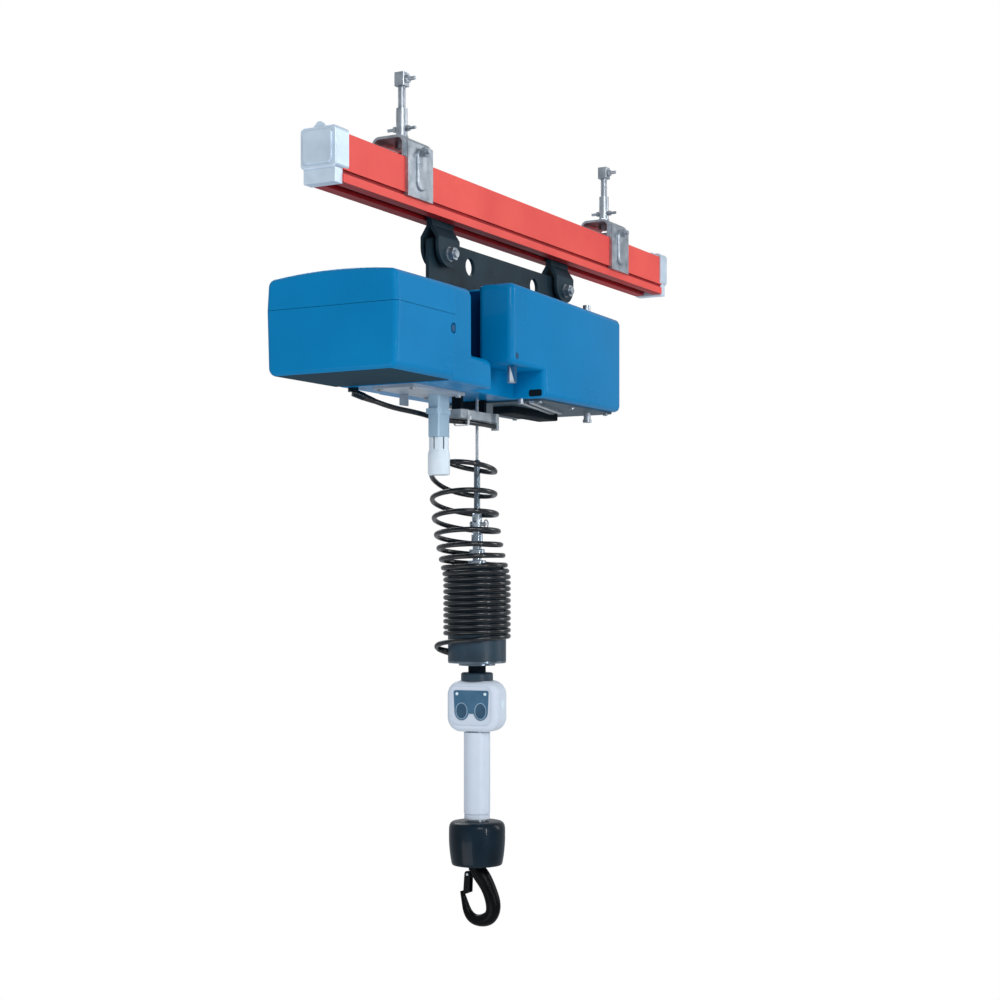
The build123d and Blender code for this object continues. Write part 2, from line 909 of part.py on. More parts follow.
# Gear housing: the set-back body with its rounded shoulder, foot and rope tunnel
with BuildPart() as gear_housing:
    back = box_right + clearance
    with BuildSketch(along(gear_half, rope_x)) as side_view:
        with BuildLine():
            Polyline(
                (back, housing_bottom),
                (gear_foot_front, housing_bottom),
                (gear_foot_front, gear_foot_top),
                (gear_front, gear_foot_top),
                (gear_front, gear_top),
                (back, gear_top),
                close=True,
            )
        make_face()
        fronts = side_view.vertices().filter_by(lambda v: v.X > back + 1)
        fillet(fronts.sort_by(Axis.Y)[-1], gear_round)
        foot = side_view.vertices().filter_by(lambda v: abs(v.X - gear_foot_front) < 0.01)
        fillet(foot, gear_round * 0.6)
        throat = side_view.vertices().filter_by(
            lambda v: abs(v.X - gear_front) < 0.01 and abs(v.Y - gear_foot_top) < 0.01
        )
        fillet(throat, gear_round * 0.75)
    extrude(amount=2 * gear_half)
    sides = gear_housing.faces().filter_by(Axis.Y)
    fillet(sides.edges(), gear_edge)
    with BuildSketch(level(housing_bottom, rope_x)):
        with Locations(((gear_foot_front - gear_round + tunnel_end) / 2, (tunnel_near + gear_half) / 2)):
            Rectangle(tunnel_end - gear_foot_front + gear_round, gear_half - tunnel_near)
    extrude(amount=tunnel_top - housing_bottom)
    with BuildSketch(along(gear_half - wall, rope_x)) as hollow:
        with BuildLine():
            Polyline(
                (back + wall, frame_low),
                (gear_foot_front - wall, frame_low),
                (gear_foot_front - wall, gear_foot_top - wall),
                (gear_front - wall, gear_foot_top - wall),
                (gear_front - wall, gear_top - wall),
                (back + wall, gear_top - wall),
                close=True,
            )
        make_face()
        tops = hollow.vertices().filter_by(lambda v: v.X > back + wall + 1)
        fillet(tops.sort_by(Axis.Y)[-1], gear_round - wall)
    extrude(amount=2 * (gear_half - wall), mode=Mode.SUBTRACT)
    with BuildSketch(level(frame_low, rope_x)):
        tunnel_start = gear_foot_front - gear_round
        with Locations(((tunnel_start + tunnel_end) / 2, (tunnel_near + gear_half) / 2)):
            Rectangle(tunnel_end - tunnel_start + 1, gear_half - tunnel_near - 2 * wall)
    extrude(amount=tunnel_top - wall - frame_low, mode=Mode.SUBTRACT)
    with BuildSketch(across(rope_x + box_right)):
        window_low = frame_low - clearance
        with Locations(((frame_near + frame_far) / 2, (window_low + frame_top + 1) / 2)):
            Rectangle(frame_far - frame_near + 2, frame_top + 1 - window_low)
    extrude(amount=2 * wall, mode=Mode.SUBTRACT)
    with BuildSketch(level(frame_top + 1, rope_x)):
        with Locations(((plate_left - window_half) / 2, 0)):
            Rectangle(-window_half - plate_left + 2 * clearance, plate_thickness + 2 * clearance)
    extrude(amount=gear_foot_top + 1 - frame_top, mode=Mode.SUBTRACT)
    with Locations((rope_x, 0, tunnel_top)):
        Hole(rope_hole_radius)
gear_housing.part.label = "gear_housing"
export_step(gear_housing.part, "parts/gear_housing.step")


def drive_cover(side):
    """Near (-1) or far (1) half of the drive cover: a long arm over a deep body."""
    split_y = side * (plate_half + clearance)
    depth = cover_half - plate_half - clearance
    end_x = tunnel_end + clearance
    arm_low = tunnel_top + clearance
    with BuildPart() as cover:
        with BuildSketch(along(split_y, rope_x)) as outline:
            with BuildLine():
                Polyline(
                    (cover_left, arm_low),
                    (end_x, arm_low),
                    (end_x, housing_bottom),
                    (cover_right, housing_bottom),
                    (cover_right, cover_top_right),
                    (cover_left, cover_top_left),
                    close=True,
                )
            make_face()
            outside = outline.vertices().filter_by(lambda v: abs(v.X - end_x) > 0.01)
            fillet(outside, cover_round)
        extrude(amount=-side * depth)
        face = cover.faces().sort_by(Axis.Y)[0 if side < 0 else -1]
        fillet(face.edges(), cover_edge)
        with BuildSketch(along(split_y, rope_x)) as hollow:
            with BuildLine():
                Polyline(
                    (cover_left + wall, arm_low + wall),
                    (end_x + wall, arm_low + wall),
                    (end_x + wall, frame_low),
                    (cover_right - wall, frame_low),
                    (cover_right - wall, cover_top_right - wall),
                    (cover_left + wall, cover_top_left - wall),
                    close=True,
                )
            make_face()
            outside = hollow.vertices().filter_by(lambda v: abs(v.X - end_x - wall) > 0.01)
            fillet(outside, cover_round - wall)
        extrude(amount=-side * (depth - wall), mode=Mode.SUBTRACT)
        window_near = tunnel_near + wall if side < 0 else plate_half
        window_far = -plate_half if side < 0 else gear_half - wall
        with BuildSketch(across(rope_x + tunnel_end - wall)):
            with Locations(((window_near + window_far) / 2, (frame_low + tunnel_top - wall) / 2)):
                Rectangle(window_far - window_near + 1, tunnel_top - wall - frame_low)
        extrude(amount=3 * wall, mode=Mode.SUBTRACT)
        with Locations((rope_x, 0, arm_low + wall)):
            Hole(rope_hole_radius, depth=2 * wall)
        if side < 0:
            with BuildSketch(across(rope_x + end_x - wall)):
                slot_z = housing_bottom + slot_floor + slot_height / 2
                with Locations((-cover_half + slot_reach / 2 - cover_edge / 2, slot_z)):
                    RectangleRounded(slot_reach + cover_edge, slot_height, slot_height / 3)
            extrude(amount=2.5 * wall, mode=Mode.SUBTRACT)
            with BuildSketch(along(-cover_half + recess_depth - 1, rope_x)):
                with Locations((cover_left + 1.7 * recess_radius, arm_low + 1.7 * recess_radius)):
                    Circle(recess_radius * 0.75)
            extrude(amount=2 * recess_depth, mode=Mode.SUBTRACT)
            with Locations((rope_x + gland_x, gland_y, cover_top_left)):
                Hole(gland_stem + fit, depth=6 * wall)
    return cover



drive_cover_near = drive_cover(-1)
drive_cover_near.part.label = "drive_cover_near"
export_step(drive_cover_near.part, "parts/drive_cover_near.step")

drive_cover_far = drive_cover(1)
drive_cover_far.part.label = "drive_cover_far"
export_step(drive_cover_far.part, "parts/drive_cover_far.step")

# Base tray: closes the drive cover from below and carries two slanted strips
with BuildPart() as base_tray:
    with BuildSketch(level(tray_low, rope_x)) as tray:
        with Locations(((tray_left + tray_right) / 2, 0)):
            RectangleRounded(tray_right - tray_left, 2 * tray_half, cover_round)
    extrude(amount=tray_thickness)
    with BuildSketch(level(tray_low - strip_height, rope_x)):
        with Locations(*[(strip_x, strip_y + s * strip_spacing / 2) for s in (-1, 1)]):
            Rectangle(strip_length, strip_width, rotation=strip_turn)
    extrude(amount=strip_height)
base_tray.part.label = "base_tray"
export_step(base_tray.part, "parts/base_tray.step")

# Belly box: a flat black case under the tray, on the centre line behind the strips
with BuildPart() as belly_box:
    with BuildSketch(level(tray_low - belly_height, rope_x)) as belly:
        with Locations(((belly_left + belly_right) / 2, 2)):
            RectangleRounded(belly_right - belly_left, 2 * belly_half, 3)
    extrude(amount=belly_height)
    chamfer(belly_box.faces().sort_by(Axis.Z)[0].edges(), 1.5)
belly_box.part.label = "belly_box"
export_step(belly_box.part, "parts/belly_box.step")

# Housing screws: two cover screws, the hex spacer, a round head and a round plug
with BuildPart() as housing_screws:
    arm_floor = tunnel_top + clearance
    seats = (
        (box_right - 1.5 * recess_radius, box_seam - 2.5 * recess_radius, box_half),
        (cover_left + 1.7 * recess_radius, arm_floor + 1.7 * recess_radius, cover_half),
    )
    for x, z, half in seats:
        with BuildSketch(along(-half + recess_depth - 1 - fit, rope_x)):
            with Locations((x, z)):
                Circle(screw_radius)
        extrude(amount=recess_depth * 0.6)
    with BuildSketch(level(arm_floor - fit, rope_x)):
        with Locations((spacer_x, spacer_y)):
            hexagon(spacer_flats)
    extrude(amount=-spacer_length)
    with BuildSketch(level(housing_bottom, rope_x)):
        with Locations((dome_x, dome_y)):
            Circle(dome_radius)
    extrude(amount=-dome_height)
    with BuildSketch(level(tray_low, rope_x)):
        with Locations((plug_stem_x, plug_stem_y)):
            Circle(plug_stem_radius)
    extrude(amount=-plug_stem_length)
    with BuildSketch(level(tray_low - 0.75 * plug_stem_length, rope_x)):
        with Locations((plug_stem_x, plug_stem_y)):
            Circle(plug_head_radius)
    extrude(amount=-plug_head_height)
housing_screws.part.label = "housing_screws"
export_step(housing_screws.part, "parts/housing_screws.step")

lead_elbow = Vector(rope_x + lead_x, lead_y, housing_bottom - lead_nozzle_radius - 1)
lead_start = lead_elbow + Vector(*lead_heading).normalized() * (lead_nozzle_length + cord_gap / 3)

# Cable glands: the supply gland on the cover's roof, a blind plug and the lead's gland below
with BuildPart() as cable_glands:
    roof_slope = (cover_top_right - cover_top_left) / (cover_right - cover_left)
    roof = cover_top_left + roof_slope * (gland_x - gland_radius - cover_left)
    with BuildSketch(level(roof - 2 * wall, rope_x)):
        with Locations((gland_x, gland_y)):
            Circle(gland_stem)
    extrude(amount=3 * wall)
    with BuildSketch(level(roof + 2 * fit, rope_x)):
        with Locations((gland_x, gland_y)):
            hexagon(2 * gland_radius)
    extrude(amount=gland_height / 2)
    with BuildSketch(level(roof + 2 * fit + gland_height / 2, rope_x)):
        with Locations((gland_x, gland_y)):
            Circle(gland_radius * 0.8)
    extrude(amount=gland_height / 2)
    with BuildSketch(level(roof + 2 * fit, rope_x)):
        with Locations((plug_x, gland_y)):
            Circle(plug_radius)
    extrude(amount=plug_height)
    with BuildSketch(level(housing_bottom, rope_x)):
        with Locations((lead_x, lead_y)):
            Circle(lead_gland_radius)
    extrude(amount=-lead_gland_height)
    with BuildSketch(Plane(origin=lead_elbow, z_dir=lead_heading)):
        Circle(lead_nozzle_radius)
    extrude(amount=lead_nozzle_length)
cable_glands.part.label = "cable_glands"
export_step(cable_glands.part, "parts/cable_glands.step")

# Control unit: the electronics block inside the left box, standing on the base plate
with BuildPart() as control_unit:
    with BuildSketch(level(frame_top + unit_foot_height, rope_x)):
        with Locations((unit_x, unit_y)):
            RectangleRounded(unit_length, unit_width, unit_round)
    extrude(amount=unit_height)
    with BuildSketch(level(frame_top, rope_x)):
        with Locations((unit_x, unit_y)):
            with GridLocations(unit_length - 2 * unit_foot_inset, unit_width - 2 * unit_foot_inset, 2, 2):
                Circle(unit_foot_radius)
    extrude(amount=unit_foot_height)
control_unit.part.label = "control_unit"
export_step(control_unit.part, "parts/control_unit.step")

# Bearing blocks: two ears on the plate's legs that carry the drum
with BuildPart() as bearing_blocks:
    for start in (-window_half - bearing_thickness - 0.5, window_half + 0.5):
        with BuildSketch(across(rope_x + start)):
            with Locations((drum_pitch_radius, drum_z)):
                Circle(bearing_radius)
            with Locations(((plate_half + fit + drum_pitch_radius) / 2, drum_z)):
                Rectangle(drum_pitch_radius - plate_half - fit, 2 * bearing_radius)
            with Locations((drum_pitch_radius, drum_z)):
                Circle(shaft_radius + fit, mode=Mode.SUBTRACT)
        extrude(amount=bearing_thickness)
bearing_blocks.part.label = "bearing_blocks"
export_step(bearing_blocks.part, "parts/bearing_blocks.step")

# Rope drum: ring grooves between two flanges, with its journals
with BuildPart() as rope_drum:
    drum_axis = Axis((rope_x, drum_pitch_radius, drum_z), (1, 0, 0))
    with BuildSketch(Plane(origin=drum_axis.position, x_dir=(1, 0, 0), z_dir=(0, -1, 0))):
        with BuildLine():
            Polyline(
                (-window_half - bearing_thickness - 1, 0),
                (-window_half - bearing_thickness - 1, shaft_radius),
                (-drum_half - drum_flange, shaft_radius),
                (-drum_half - drum_flange, drum_outer),
                (-drum_half, drum_outer),
                (-drum_half, drum_floor),
                (drum_half, drum_floor),
                (drum_half, drum_outer),
                (drum_half + drum_flange, drum_outer),
                (drum_half + drum_flange, shaft_radius),
                (window_half + bearing_thickness + 1 + shaft_reach, shaft_radius),
                (window_half + bearing_thickness + 1 + shaft_reach, 0),
                close=True,
            )
        make_face()
        lands = range(int(-drum_half / groove_pitch) + 1, int(drum_half / groove_pitch))
        with Locations(*[((n + 0.5) * groove_pitch, drum_floor + rope_radius / 4) for n in lands]):
            Rectangle(groove_pitch * 0.3, rope_radius / 2 + 1)
    revolve(axis=drum_axis)
rope_drum.part.label = "rope_drum"
export_step(rope_drum.part, "parts/rope_drum.step")

# Geared motor: flange on the plate's leg, gear case, motor and brake in one line
with BuildPart() as gearmotor:
    flange_x = window_half + bearing_thickness + 1
    with BuildSketch(across(rope_x + flange_x)):
        far = drum_pitch_radius + gear_radius
        with Locations(((plate_half + fit + far) / 2, drum_z)):
            Rectangle(far - plate_half - fit, 2 * gear_radius)
    extrude(amount=gear_flange)
    stages = (
        (gear_flange, gear_radius, gear_length - gear_flange),
        (gear_length, motor_radius, motor_length),
        (gear_length + motor_length, brake_radius, brake_length),
    )
    for start, radius, length in stages:
        with BuildSketch(across(rope_x + flange_x + start)):
            with Locations((drum_pitch_radius, drum_z)):
                Circle(radius)
        extrude(amount=length)
    with BuildSketch(across(rope_x + flange_x)):
        with Locations((drum_pitch_radius, drum_z)):
            Circle(shaft_radius + fit)
    extrude(amount=shaft_reach + 1, mode=Mode.SUBTRACT)
gearmotor.part.label = "gearmotor"
export_step(gearmotor.part, "parts/gearmotor.step")

# Cable plate: grey plate under the gear housing, with a bent leg at its far edge
with BuildPart() as cable_plate:
    with BuildSketch(level(cable_plate_low, rope_x)) as plate:
        middle_x = (cable_plate_left + cable_plate_right) / 2
        middle_y = (cable_plate_near + cable_plate_far) / 2
        with Locations((middle_x, middle_y)):
            Rectangle(cable_plate_right - cable_plate_left, cable_plate_far - cable_plate_near)
        fillet(plate.vertices(), 4)
    extrude(amount=cable_plate_thickness)
    with BuildSketch(level(cable_plate_low, rope_x)):
        with Locations((leg_x, cable_plate_far - leg_thickness / 2)):
            Rectangle(leg_width, leg_thickness)
    extrude(amount=-leg_length)
cable_plate.part.label = "cable_plate"
export_step(cable_plate.part, "parts/cable_plate.step")

# Cable post: rectangular tube that holds the guide end clear of the housing
with BuildPart() as cable_post:
    with BuildSketch(level(post_low, rope_x)):
        with Locations((post_x, 0)):
            RectangleRounded(post_length_x, post_length_y, post_round)
            RectangleRounded(
                post_length_x - 2 * post_wall,
                post_length_y - 2 * post_wall,
                post_round - post_wall,
                mode=Mode.SUBTRACT,
            )
    extrude(amount=post_drop)
cable_post.part.label = "cable_post"
export_step(cable_post.part, "parts/cable_post.step")

# Post clip: band round the post with a tab on the left and a knob on the right
with BuildPart() as post_clip:
    inner_x = post_length_x + 2 * fit
    inner_y = post_length_y + 2 * fit
    with BuildSketch(level(post_low + clip_rise, rope_x)):
        with Locations((post_x, 0)):
            RectangleRounded(inner_x + 2 * clip_wall, inner_y + 2 * clip_wall, post_round + clip_wall)
        with Locations((post_x - inner_x / 2 - clip_wall - tab_length / 2 + 1, 0)):
            Rectangle(tab_length + 2, inner_y)
        with Locations((post_x, 0)):
            RectangleRounded(inner_x, inner_y, post_round, mode=Mode.SUBTRACT)
    extrude(amount=clip_height)
    with BuildSketch(level(post_low + clip_rise + clip_height, rope_x)):
        with Locations((post_x + inner_x / 2 + clip_wall + knob_radius / 2, 0)):
            Circle(knob_radius)
    extrude(amount=-clip_height)
    with BuildSketch(level(post_low + clip_rise + clip_height, rope_x)):
        with Locations((post_x + inner_x / 2 + clip_wall + knob_radius / 2, 0)):
            Circle(knob_radius)
    extrude(amount=knob_length)
post_clip.part.label = "post_clip"
export_step(post_clip.part, "parts/post_clip.step")

# Guide end: white moulding, rectangular where it plugs into the post and round below
with BuildPart() as guide_end:
    inside_x = post_length_x - 2 * post_wall - 2 * fit
    inside_y = post_length_y - 2 * post_wall - 2 * fit
    with BuildSketch(level(post_low - fit, rope_x)):
        with Locations((post_x, 0)):
            RectangleRounded(inside_x, inside_y, 0.9)
    extrude(amount=guide_spigot)
    with BuildSketch(level(post_low - fit, rope_x)):
        with Locations((post_x, 0)):
            RectangleRounded(post_length_x - 1, post_length_y - 1, post_round)
    with BuildSketch(level(post_low - guide_end_taper, rope_x)):
        with Locations((post_x, 0)):
            RectangleRounded(2 * guide_end_radius, 2 * guide_end_radius, guide_end_radius - 0.1)
    loft()
    with BuildSketch(level(guide_end_low, rope_x)):
        with Locations((post_x, 0)):
            Circle(guide_end_radius)
    extrude(amount=guide_end_length)
    fillet(guide_end.faces().sort_by(Axis.Z)[0].edges(), 3)
    with BuildSketch(across(rope_x + post_x)):
        with Locations((0, coil_top - cord_radius)):
            Circle(nozzle_radius)
    nozzle_reach = coil_lean - coil_radius - cord_gap - post_x
    extrude(amount=nozzle_reach)
    with BuildSketch(level(guide_end_low, rope_x)):
        with Locations((post_x, 0)):
            Circle(guide_end_bore)
    extrude(amount=guide_end_length / 2, mode=Mode.SUBTRACT)
    with BuildSketch(level(post_low - guide_slit_height, rope_x)):
        with Locations((post_x - guide_end_radius / 2, 0), (post_x + guide_end_radius / 2, 0)):
            Rectangle(guide_slit, 4 * guide_end_radius)
    extrude(amount=guide_slit_height * 0.7, mode=Mode.SUBTRACT)
guide_end.part.label = "guide_end"
export_step(guide_end.part, "parts/guide_end.step")

# Rope guide: black block under the tunnel, beside the rope
with BuildPart() as rope_guide:
    with BuildSketch(level(housing_bottom - guide_height, rope_x)):
        with Locations(((guide_left + guide_right) / 2, (guide_near + guide_far) / 2)):
            RectangleRounded(guide_right - guide_left, guide_far - guide_near, 2)
    extrude(amount=guide_height)
rope_guide.part.label = "rope_guide"
export_step(rope_guide.part, "parts/rope_guide.step")

# Limit bar: switch housing that the rope passes, on two legs under the tunnel
with BuildPart() as limit_bar:
    with BuildSketch(level(bar_low, rope_x)):
        with Locations(((bar_left + bar_right) / 2, (bar_near + bar_far) / 2)):
            RectangleRounded(bar_right - bar_left, bar_far - bar_near, 4)
    extrude(amount=bar_height)
    chamfer(limit_bar.faces().sort_by(Axis.Z)[0].edges(), 1)
    with BuildSketch(level(bar_low + bar_height, rope_x)):
        with Locations((bar_left + bar_leg, (bar_near + bar_far) / 2)):
            Rectangle(bar_leg, bar_far - bar_near - bar_leg)
        with Locations((guide_left - bar_leg / 2 - 1, (bar_near + bar_far) / 2)):
            Rectangle(bar_leg, bar_far - bar_near - bar_leg)
    extrude(amount=bar_drop)
    with BuildSketch(level(bar_low - socket_drop, rope_x)):
        with Locations((bar_right + socket_length / 2, bar_near)):
            RectangleRounded(socket_length, socket_width, 1)
    extrude(amount=socket_drop + bar_height)
    with BuildSketch(level(bar_low, rope_x)):
        with Locations((bar_right, bar_near)):
            Rectangle(2 * socket_length - 2, socket_width)
    extrude(amount=bar_height)
    with Locations((rope_x, 0, bar_low + bar_height)):
        Hole(bar_hole)
limit_bar.part.label = "limit_bar"
export_step(limit_bar.part, "parts/limit_bar.step")

# Switch lead: hangs from its gland, passes behind the post and runs along the bar's underside
lead_low = bar_low - lead_radius - cord_gap
lead_route = [
    tuple(lead_start),
    tuple(lead_start + Vector(*lead_heading).normalized() * 26),
    (rope_x - 175, 41.5, -490.5),
    (rope_x - 149, 30, -493.5),
    (rope_x - 121, 21.5, -497),
    (rope_x - 94, 13.5, lead_low + 0.3),
    (rope_x - 66, 4, lead_low - 0.6),
    (rope_x - 38, -4, lead_low),
    (rope_x - 12, -8.5, lead_low - 0.8),
    (rope_x + 14, -8, lead_low - 0.2),
    (rope_x + bar_right - cord_gap, bar_near, lead_low - 1.6),
]


def corner_radii(points):
    """Largest arc at each corner: 0.45 of the shorter run over the tangent of half the turn."""
    radii = []
    for before, here, after in zip(points, points[1:], points[2:]):
        first = Vector(*here) - Vector(*before)
        second = Vector(*after) - Vector(*here)
        half_turn = radians(first.get_angle(second)) / 2
        radii.append(0.45 * min(first.length, second.length) / tan(half_turn))
    return radii


def cord_tube(points, radius):
    """Round tube along straight runs joined by tangent arcs."""
    radii = corner_radii(points)
    with BuildPart() as tube:
        with BuildLine() as path:
            FilletPolyline(*points, radius=radii)
        with BuildSketch(Plane(origin=path.line @ 0, z_dir=path.line % 0)):
            Circle(radius)
        sweep()
    print("cord radii", [round(r, 1) for r in radii], "length", round(path.wire().length, 1))
    return tube


switch_lead = cord_tube(lead_route, lead_radius)
switch_lead.part.label = "switch_lead"
export_step(switch_lead.part, "parts/switch_lead.step")

# Rope: the straight fall from the drum's tangent to the rope sleeve
with BuildPart() as rope:
    with BuildSketch(level(sleeve_top, rope_x)):
        Circle(rope_radius)
    extrude(amount=drum_z - sleeve_top)
rope.part.label = "rope"
export_step(rope.part, "parts/rope.step")

# Rope sleeve: the swaged end of the rope
with BuildPart() as rope_sleeve:
    with BuildSketch(level(fork_top, rope_x)):
        Circle(rope_sleeve_radius)
    extrude(amount=rope_sleeve_length)
    chamfer(rope_sleeve.faces().sort_by(Axis.Z)[-1].edges(), 2)
rope_sleeve.part.label = "rope_sleeve"
export_step(rope_sleeve.part, "parts/rope_sleeve.step")

# Rope fork: a clevis round the swivel's eye
with BuildPart() as rope_fork:
    with BuildSketch(level(fork_low, rope_x)):
        Circle(fork_radius)
    extrude(amount=fork_length)
    chamfer(rope_fork.faces().sort_by(Axis.Z)[-1].edges(), 2)
    with BuildSketch(along(fork_gap / 2, rope_x)):
        with Locations((0, fork_low)):
            Rectangle(2 * fork_radius, fork_length * 0.72, align=(Align.CENTER, Align.MIN))
    extrude(amount=fork_gap, mode=Mode.SUBTRACT)
    with Locations((rope_x, 0, fork_low + fork_length * 0.3)):
        Cylinder(fork_pin_radius + fit, 4 * fork_radius, rotation=(90, 0, 0), mode=Mode.SUBTRACT)
rope_fork.part.label = "rope_fork"
export_step(rope_fork.part, "parts/rope_fork.step")

# Fork pin: headed pin through the clevis, with its split ring
with BuildPart() as fork_pin:
    pin_height = fork_low + fork_length * 0.3
    with BuildSketch(along(fork_radius + 3, rope_x)):
        with Locations((0, pin_height)):
            Circle(fork_pin_radius)
    extrude(amount=2 * fork_radius + 3 + 8)
    with BuildSketch(along(fork_radius + 3, rope_x)):
        with Locations((0, pin_height)):
            Circle(fork_pin_radius * 1.6)
    extrude(amount=2.5)
    ring_y = -fork_radius - 5
    with BuildSketch(
        Plane(origin=(rope_x + fork_ring_radius, ring_y, pin_height), x_dir=(1, 0, 0), z_dir=(0, 0, 1))
    ):
        with Locations((fork_ring_radius, 0)):
            Circle(fork_ring_wire)
    revolve(axis=Axis((rope_x + fork_ring_radius, ring_y, pin_height), (0, 1, 0)))
fork_pin.part.label = "fork_pin"
export_step(fork_pin.part, "parts/fork_pin.step")

# Rope swivel: stepped blocks on a stem that goes down into the bell's base
with BuildPart() as rope_swivel:
    with BuildSketch(spin()):
        with BuildLine():
            steps = [(0, fork_low)]
            z = fork_low
            steps.append((swivel_neck_radius, z))
            for radius, height in zip(swivel_block_radii, swivel_block_heights):
                z -= swivel_gap
                steps += [(swivel_neck_radius, z), (radius - 1, z), (radius, z - 1)]
                z -= height
                steps += [(radius, z + 1), (radius - 1, z), (swivel_neck_radius, z)]
            stem_low = bell_low + 8
            steps += [(swivel_neck_radius, stem_low), (0, stem_low)]
            Polyline(*steps, close=True)
        make_face()
    revolve(axis=rope_axis)
    with BuildSketch(along((fork_gap - 2 * clearance) / 2, rope_x)):
        with Locations((0, pin_height)):
            Circle(fork_pin_radius + 3)
        with Locations((0, (pin_height + fork_low) / 2 - 1)):
            Rectangle(2 * fork_pin_radius + 6, pin_height - fork_low + 2)
        with Locations((0, pin_height)):
            Circle(fork_pin_radius + fit, mode=Mode.SUBTRACT)
    extrude(amount=fork_gap - 2 * clearance)
rope_swivel.part.label = "rope_swivel"
export_step(rope_swivel.part, "parts/rope_swivel.step")

# Bell: black shell with a rounded roof, open below
with BuildPart() as bell:
    with BuildSketch(spin()) as wall_section:
        with BuildLine():
            Polyline(
                (swivel_neck_radius + fit, bell_top),
                (bell_radius, bell_top),
                (bell_radius, bell_low),
                (bell_radius - bell_wall, bell_low),
                (bell_radius - bell_wall, bell_top - bell_wall),
                (swivel_neck_radius + fit, bell_top - bell_wall),
                close=True,
            )
        make_face()
        shoulder = wall_section.vertices().sort_by(Axis.Y)[-2:].sort_by(Axis.X)[-1]
        fillet(shoulder, bell_round)
        under = wall_section.vertices().filter_by(
            lambda v: abs(v.Y - bell_top + bell_wall) < 0.01 and v.X > bell_radius / 2
        )
        fillet(under, bell_round - bell_wall)
    revolve(axis=rope_axis)
bell.part.label = "bell"
export_step(bell.part, "parts/bell.step")

# Bell base: metal disc with a hub for the swivel's stem, a flange and the neck
with BuildPart() as bell_base:
    with BuildSketch(spin()):
        disc_low = bell_low - base_disc_height
        flange_low = disc_low - base_flange_height
        with BuildLine():
            Polyline(
                (0, stem_low - fit),
                (swivel_neck_radius + fit, stem_low - fit),
                (swivel_neck_radius + fit, stem_low + 14),
                (2 * swivel_neck_radius, stem_low + 14),
                (2 * swivel_neck_radius, bell_low),
                (bell_radius - 0.5, bell_low),
                (bell_radius, bell_low - 0.5),
                (bell_radius, disc_low + 1),
                (bell_radius - 1, disc_low),
                (base_flange_radius, disc_low),
                (base_flange_radius, flange_low),
                (neck_radius, flange_low),
                (neck_radius, base_low),
                (swivel_shaft_radius + fit, base_low),
                (swivel_shaft_radius + fit, retainer_low - 2 * fit),
                (retainer_radius + clearance, retainer_low - 2 * fit),
                (retainer_radius + clearance, retainer_high + clearance),
                (0, retainer_high + clearance),
                close=True,
            )
        make_face()
    revolve(axis=rope_axis)
bell_base.part.label = "bell_base"
export_step(bell_base.part, "parts/bell_base.step")

# Curly cable: one fat tube of the coil's outer shape, upright round the bell and leaning above it
with BuildPart() as spiral_cord:
    with BuildSketch(level(coil_bottom, rope_x)):
        Circle(coil_radius)
        Circle(coil_radius - 2 * cord_radius, mode=Mode.SUBTRACT)
    extrude(amount=coil_straight_top - coil_bottom)
    with BuildSketch(level(coil_straight_top, rope_x)):
        Circle(coil_radius)
        Circle(coil_radius - 2 * cord_radius, mode=Mode.SUBTRACT)
    lean_rise = coil_top - coil_straight_top
    lean = Vector(coil_lean, 0, lean_rise)
    extrude(amount=lean.length, dir=lean.normalized())
spiral_cord.part.label = "spiral_cord"
export_step(spiral_cord.part, "parts/spiral_cord.step")

# Cord tail: the cable's last bend, out from under the coil and back into the bell's side


def polar(angle, radius, z):
    """Point round the rope's axis by its angle in degrees."""
    return (rope_x + radius * cos(radians(angle)), radius * sin(radians(angle)), z)


tail_start = coil_bottom - cord_radius - cord_gap
tail_route = [
    polar(206, 51.5, tail_start),
    polar(176, 54, tail_start - 1.5),
    polar(148, 61, tail_start - 4.5),
    polar(126, 66, tail_start - 10),
    polar(112, 62, tail_start - 17),
    polar(108, bell_radius - bell_wall / 2, tail_start - 21),
]
cord_tail = cord_tube(tail_route, cord_radius)
cord_tail.part.label = "cord_tail"
export_step(cord_tail.part, "parts/cord_tail.step")

# Handle puck: turns in the bell's neck and carries the head and the grip core
with BuildPart() as handle_puck:
    with BuildSketch(spin()):
        with BuildLine():
            Polyline(
                (0, retainer_high),
                (retainer_radius, retainer_high),
                (retainer_radius, retainer_low),
                (swivel_shaft_radius, retainer_low),
                (swivel_shaft_radius, puck_top),
                (puck_radius - 2, puck_top),
                (puck_radius, puck_top - 2),
                (puck_radius, head_top + 0.05),
                (core_radius - core_wall - fit, head_top + 0.05),
                (core_radius - core_wall - fit, core_top - 14),
                (0, core_top - 14),
                close=True,
            )
        make_face()
    revolve(axis=rope_axis)
handle_puck.part.label = "handle_puck"
export_step(handle_puck.part, "parts/handle_puck.step")

bezel_z = head_top - head_height / 2 + 1
button_z = head_top - button_drop
lamp_z = head_top - lamp_drop


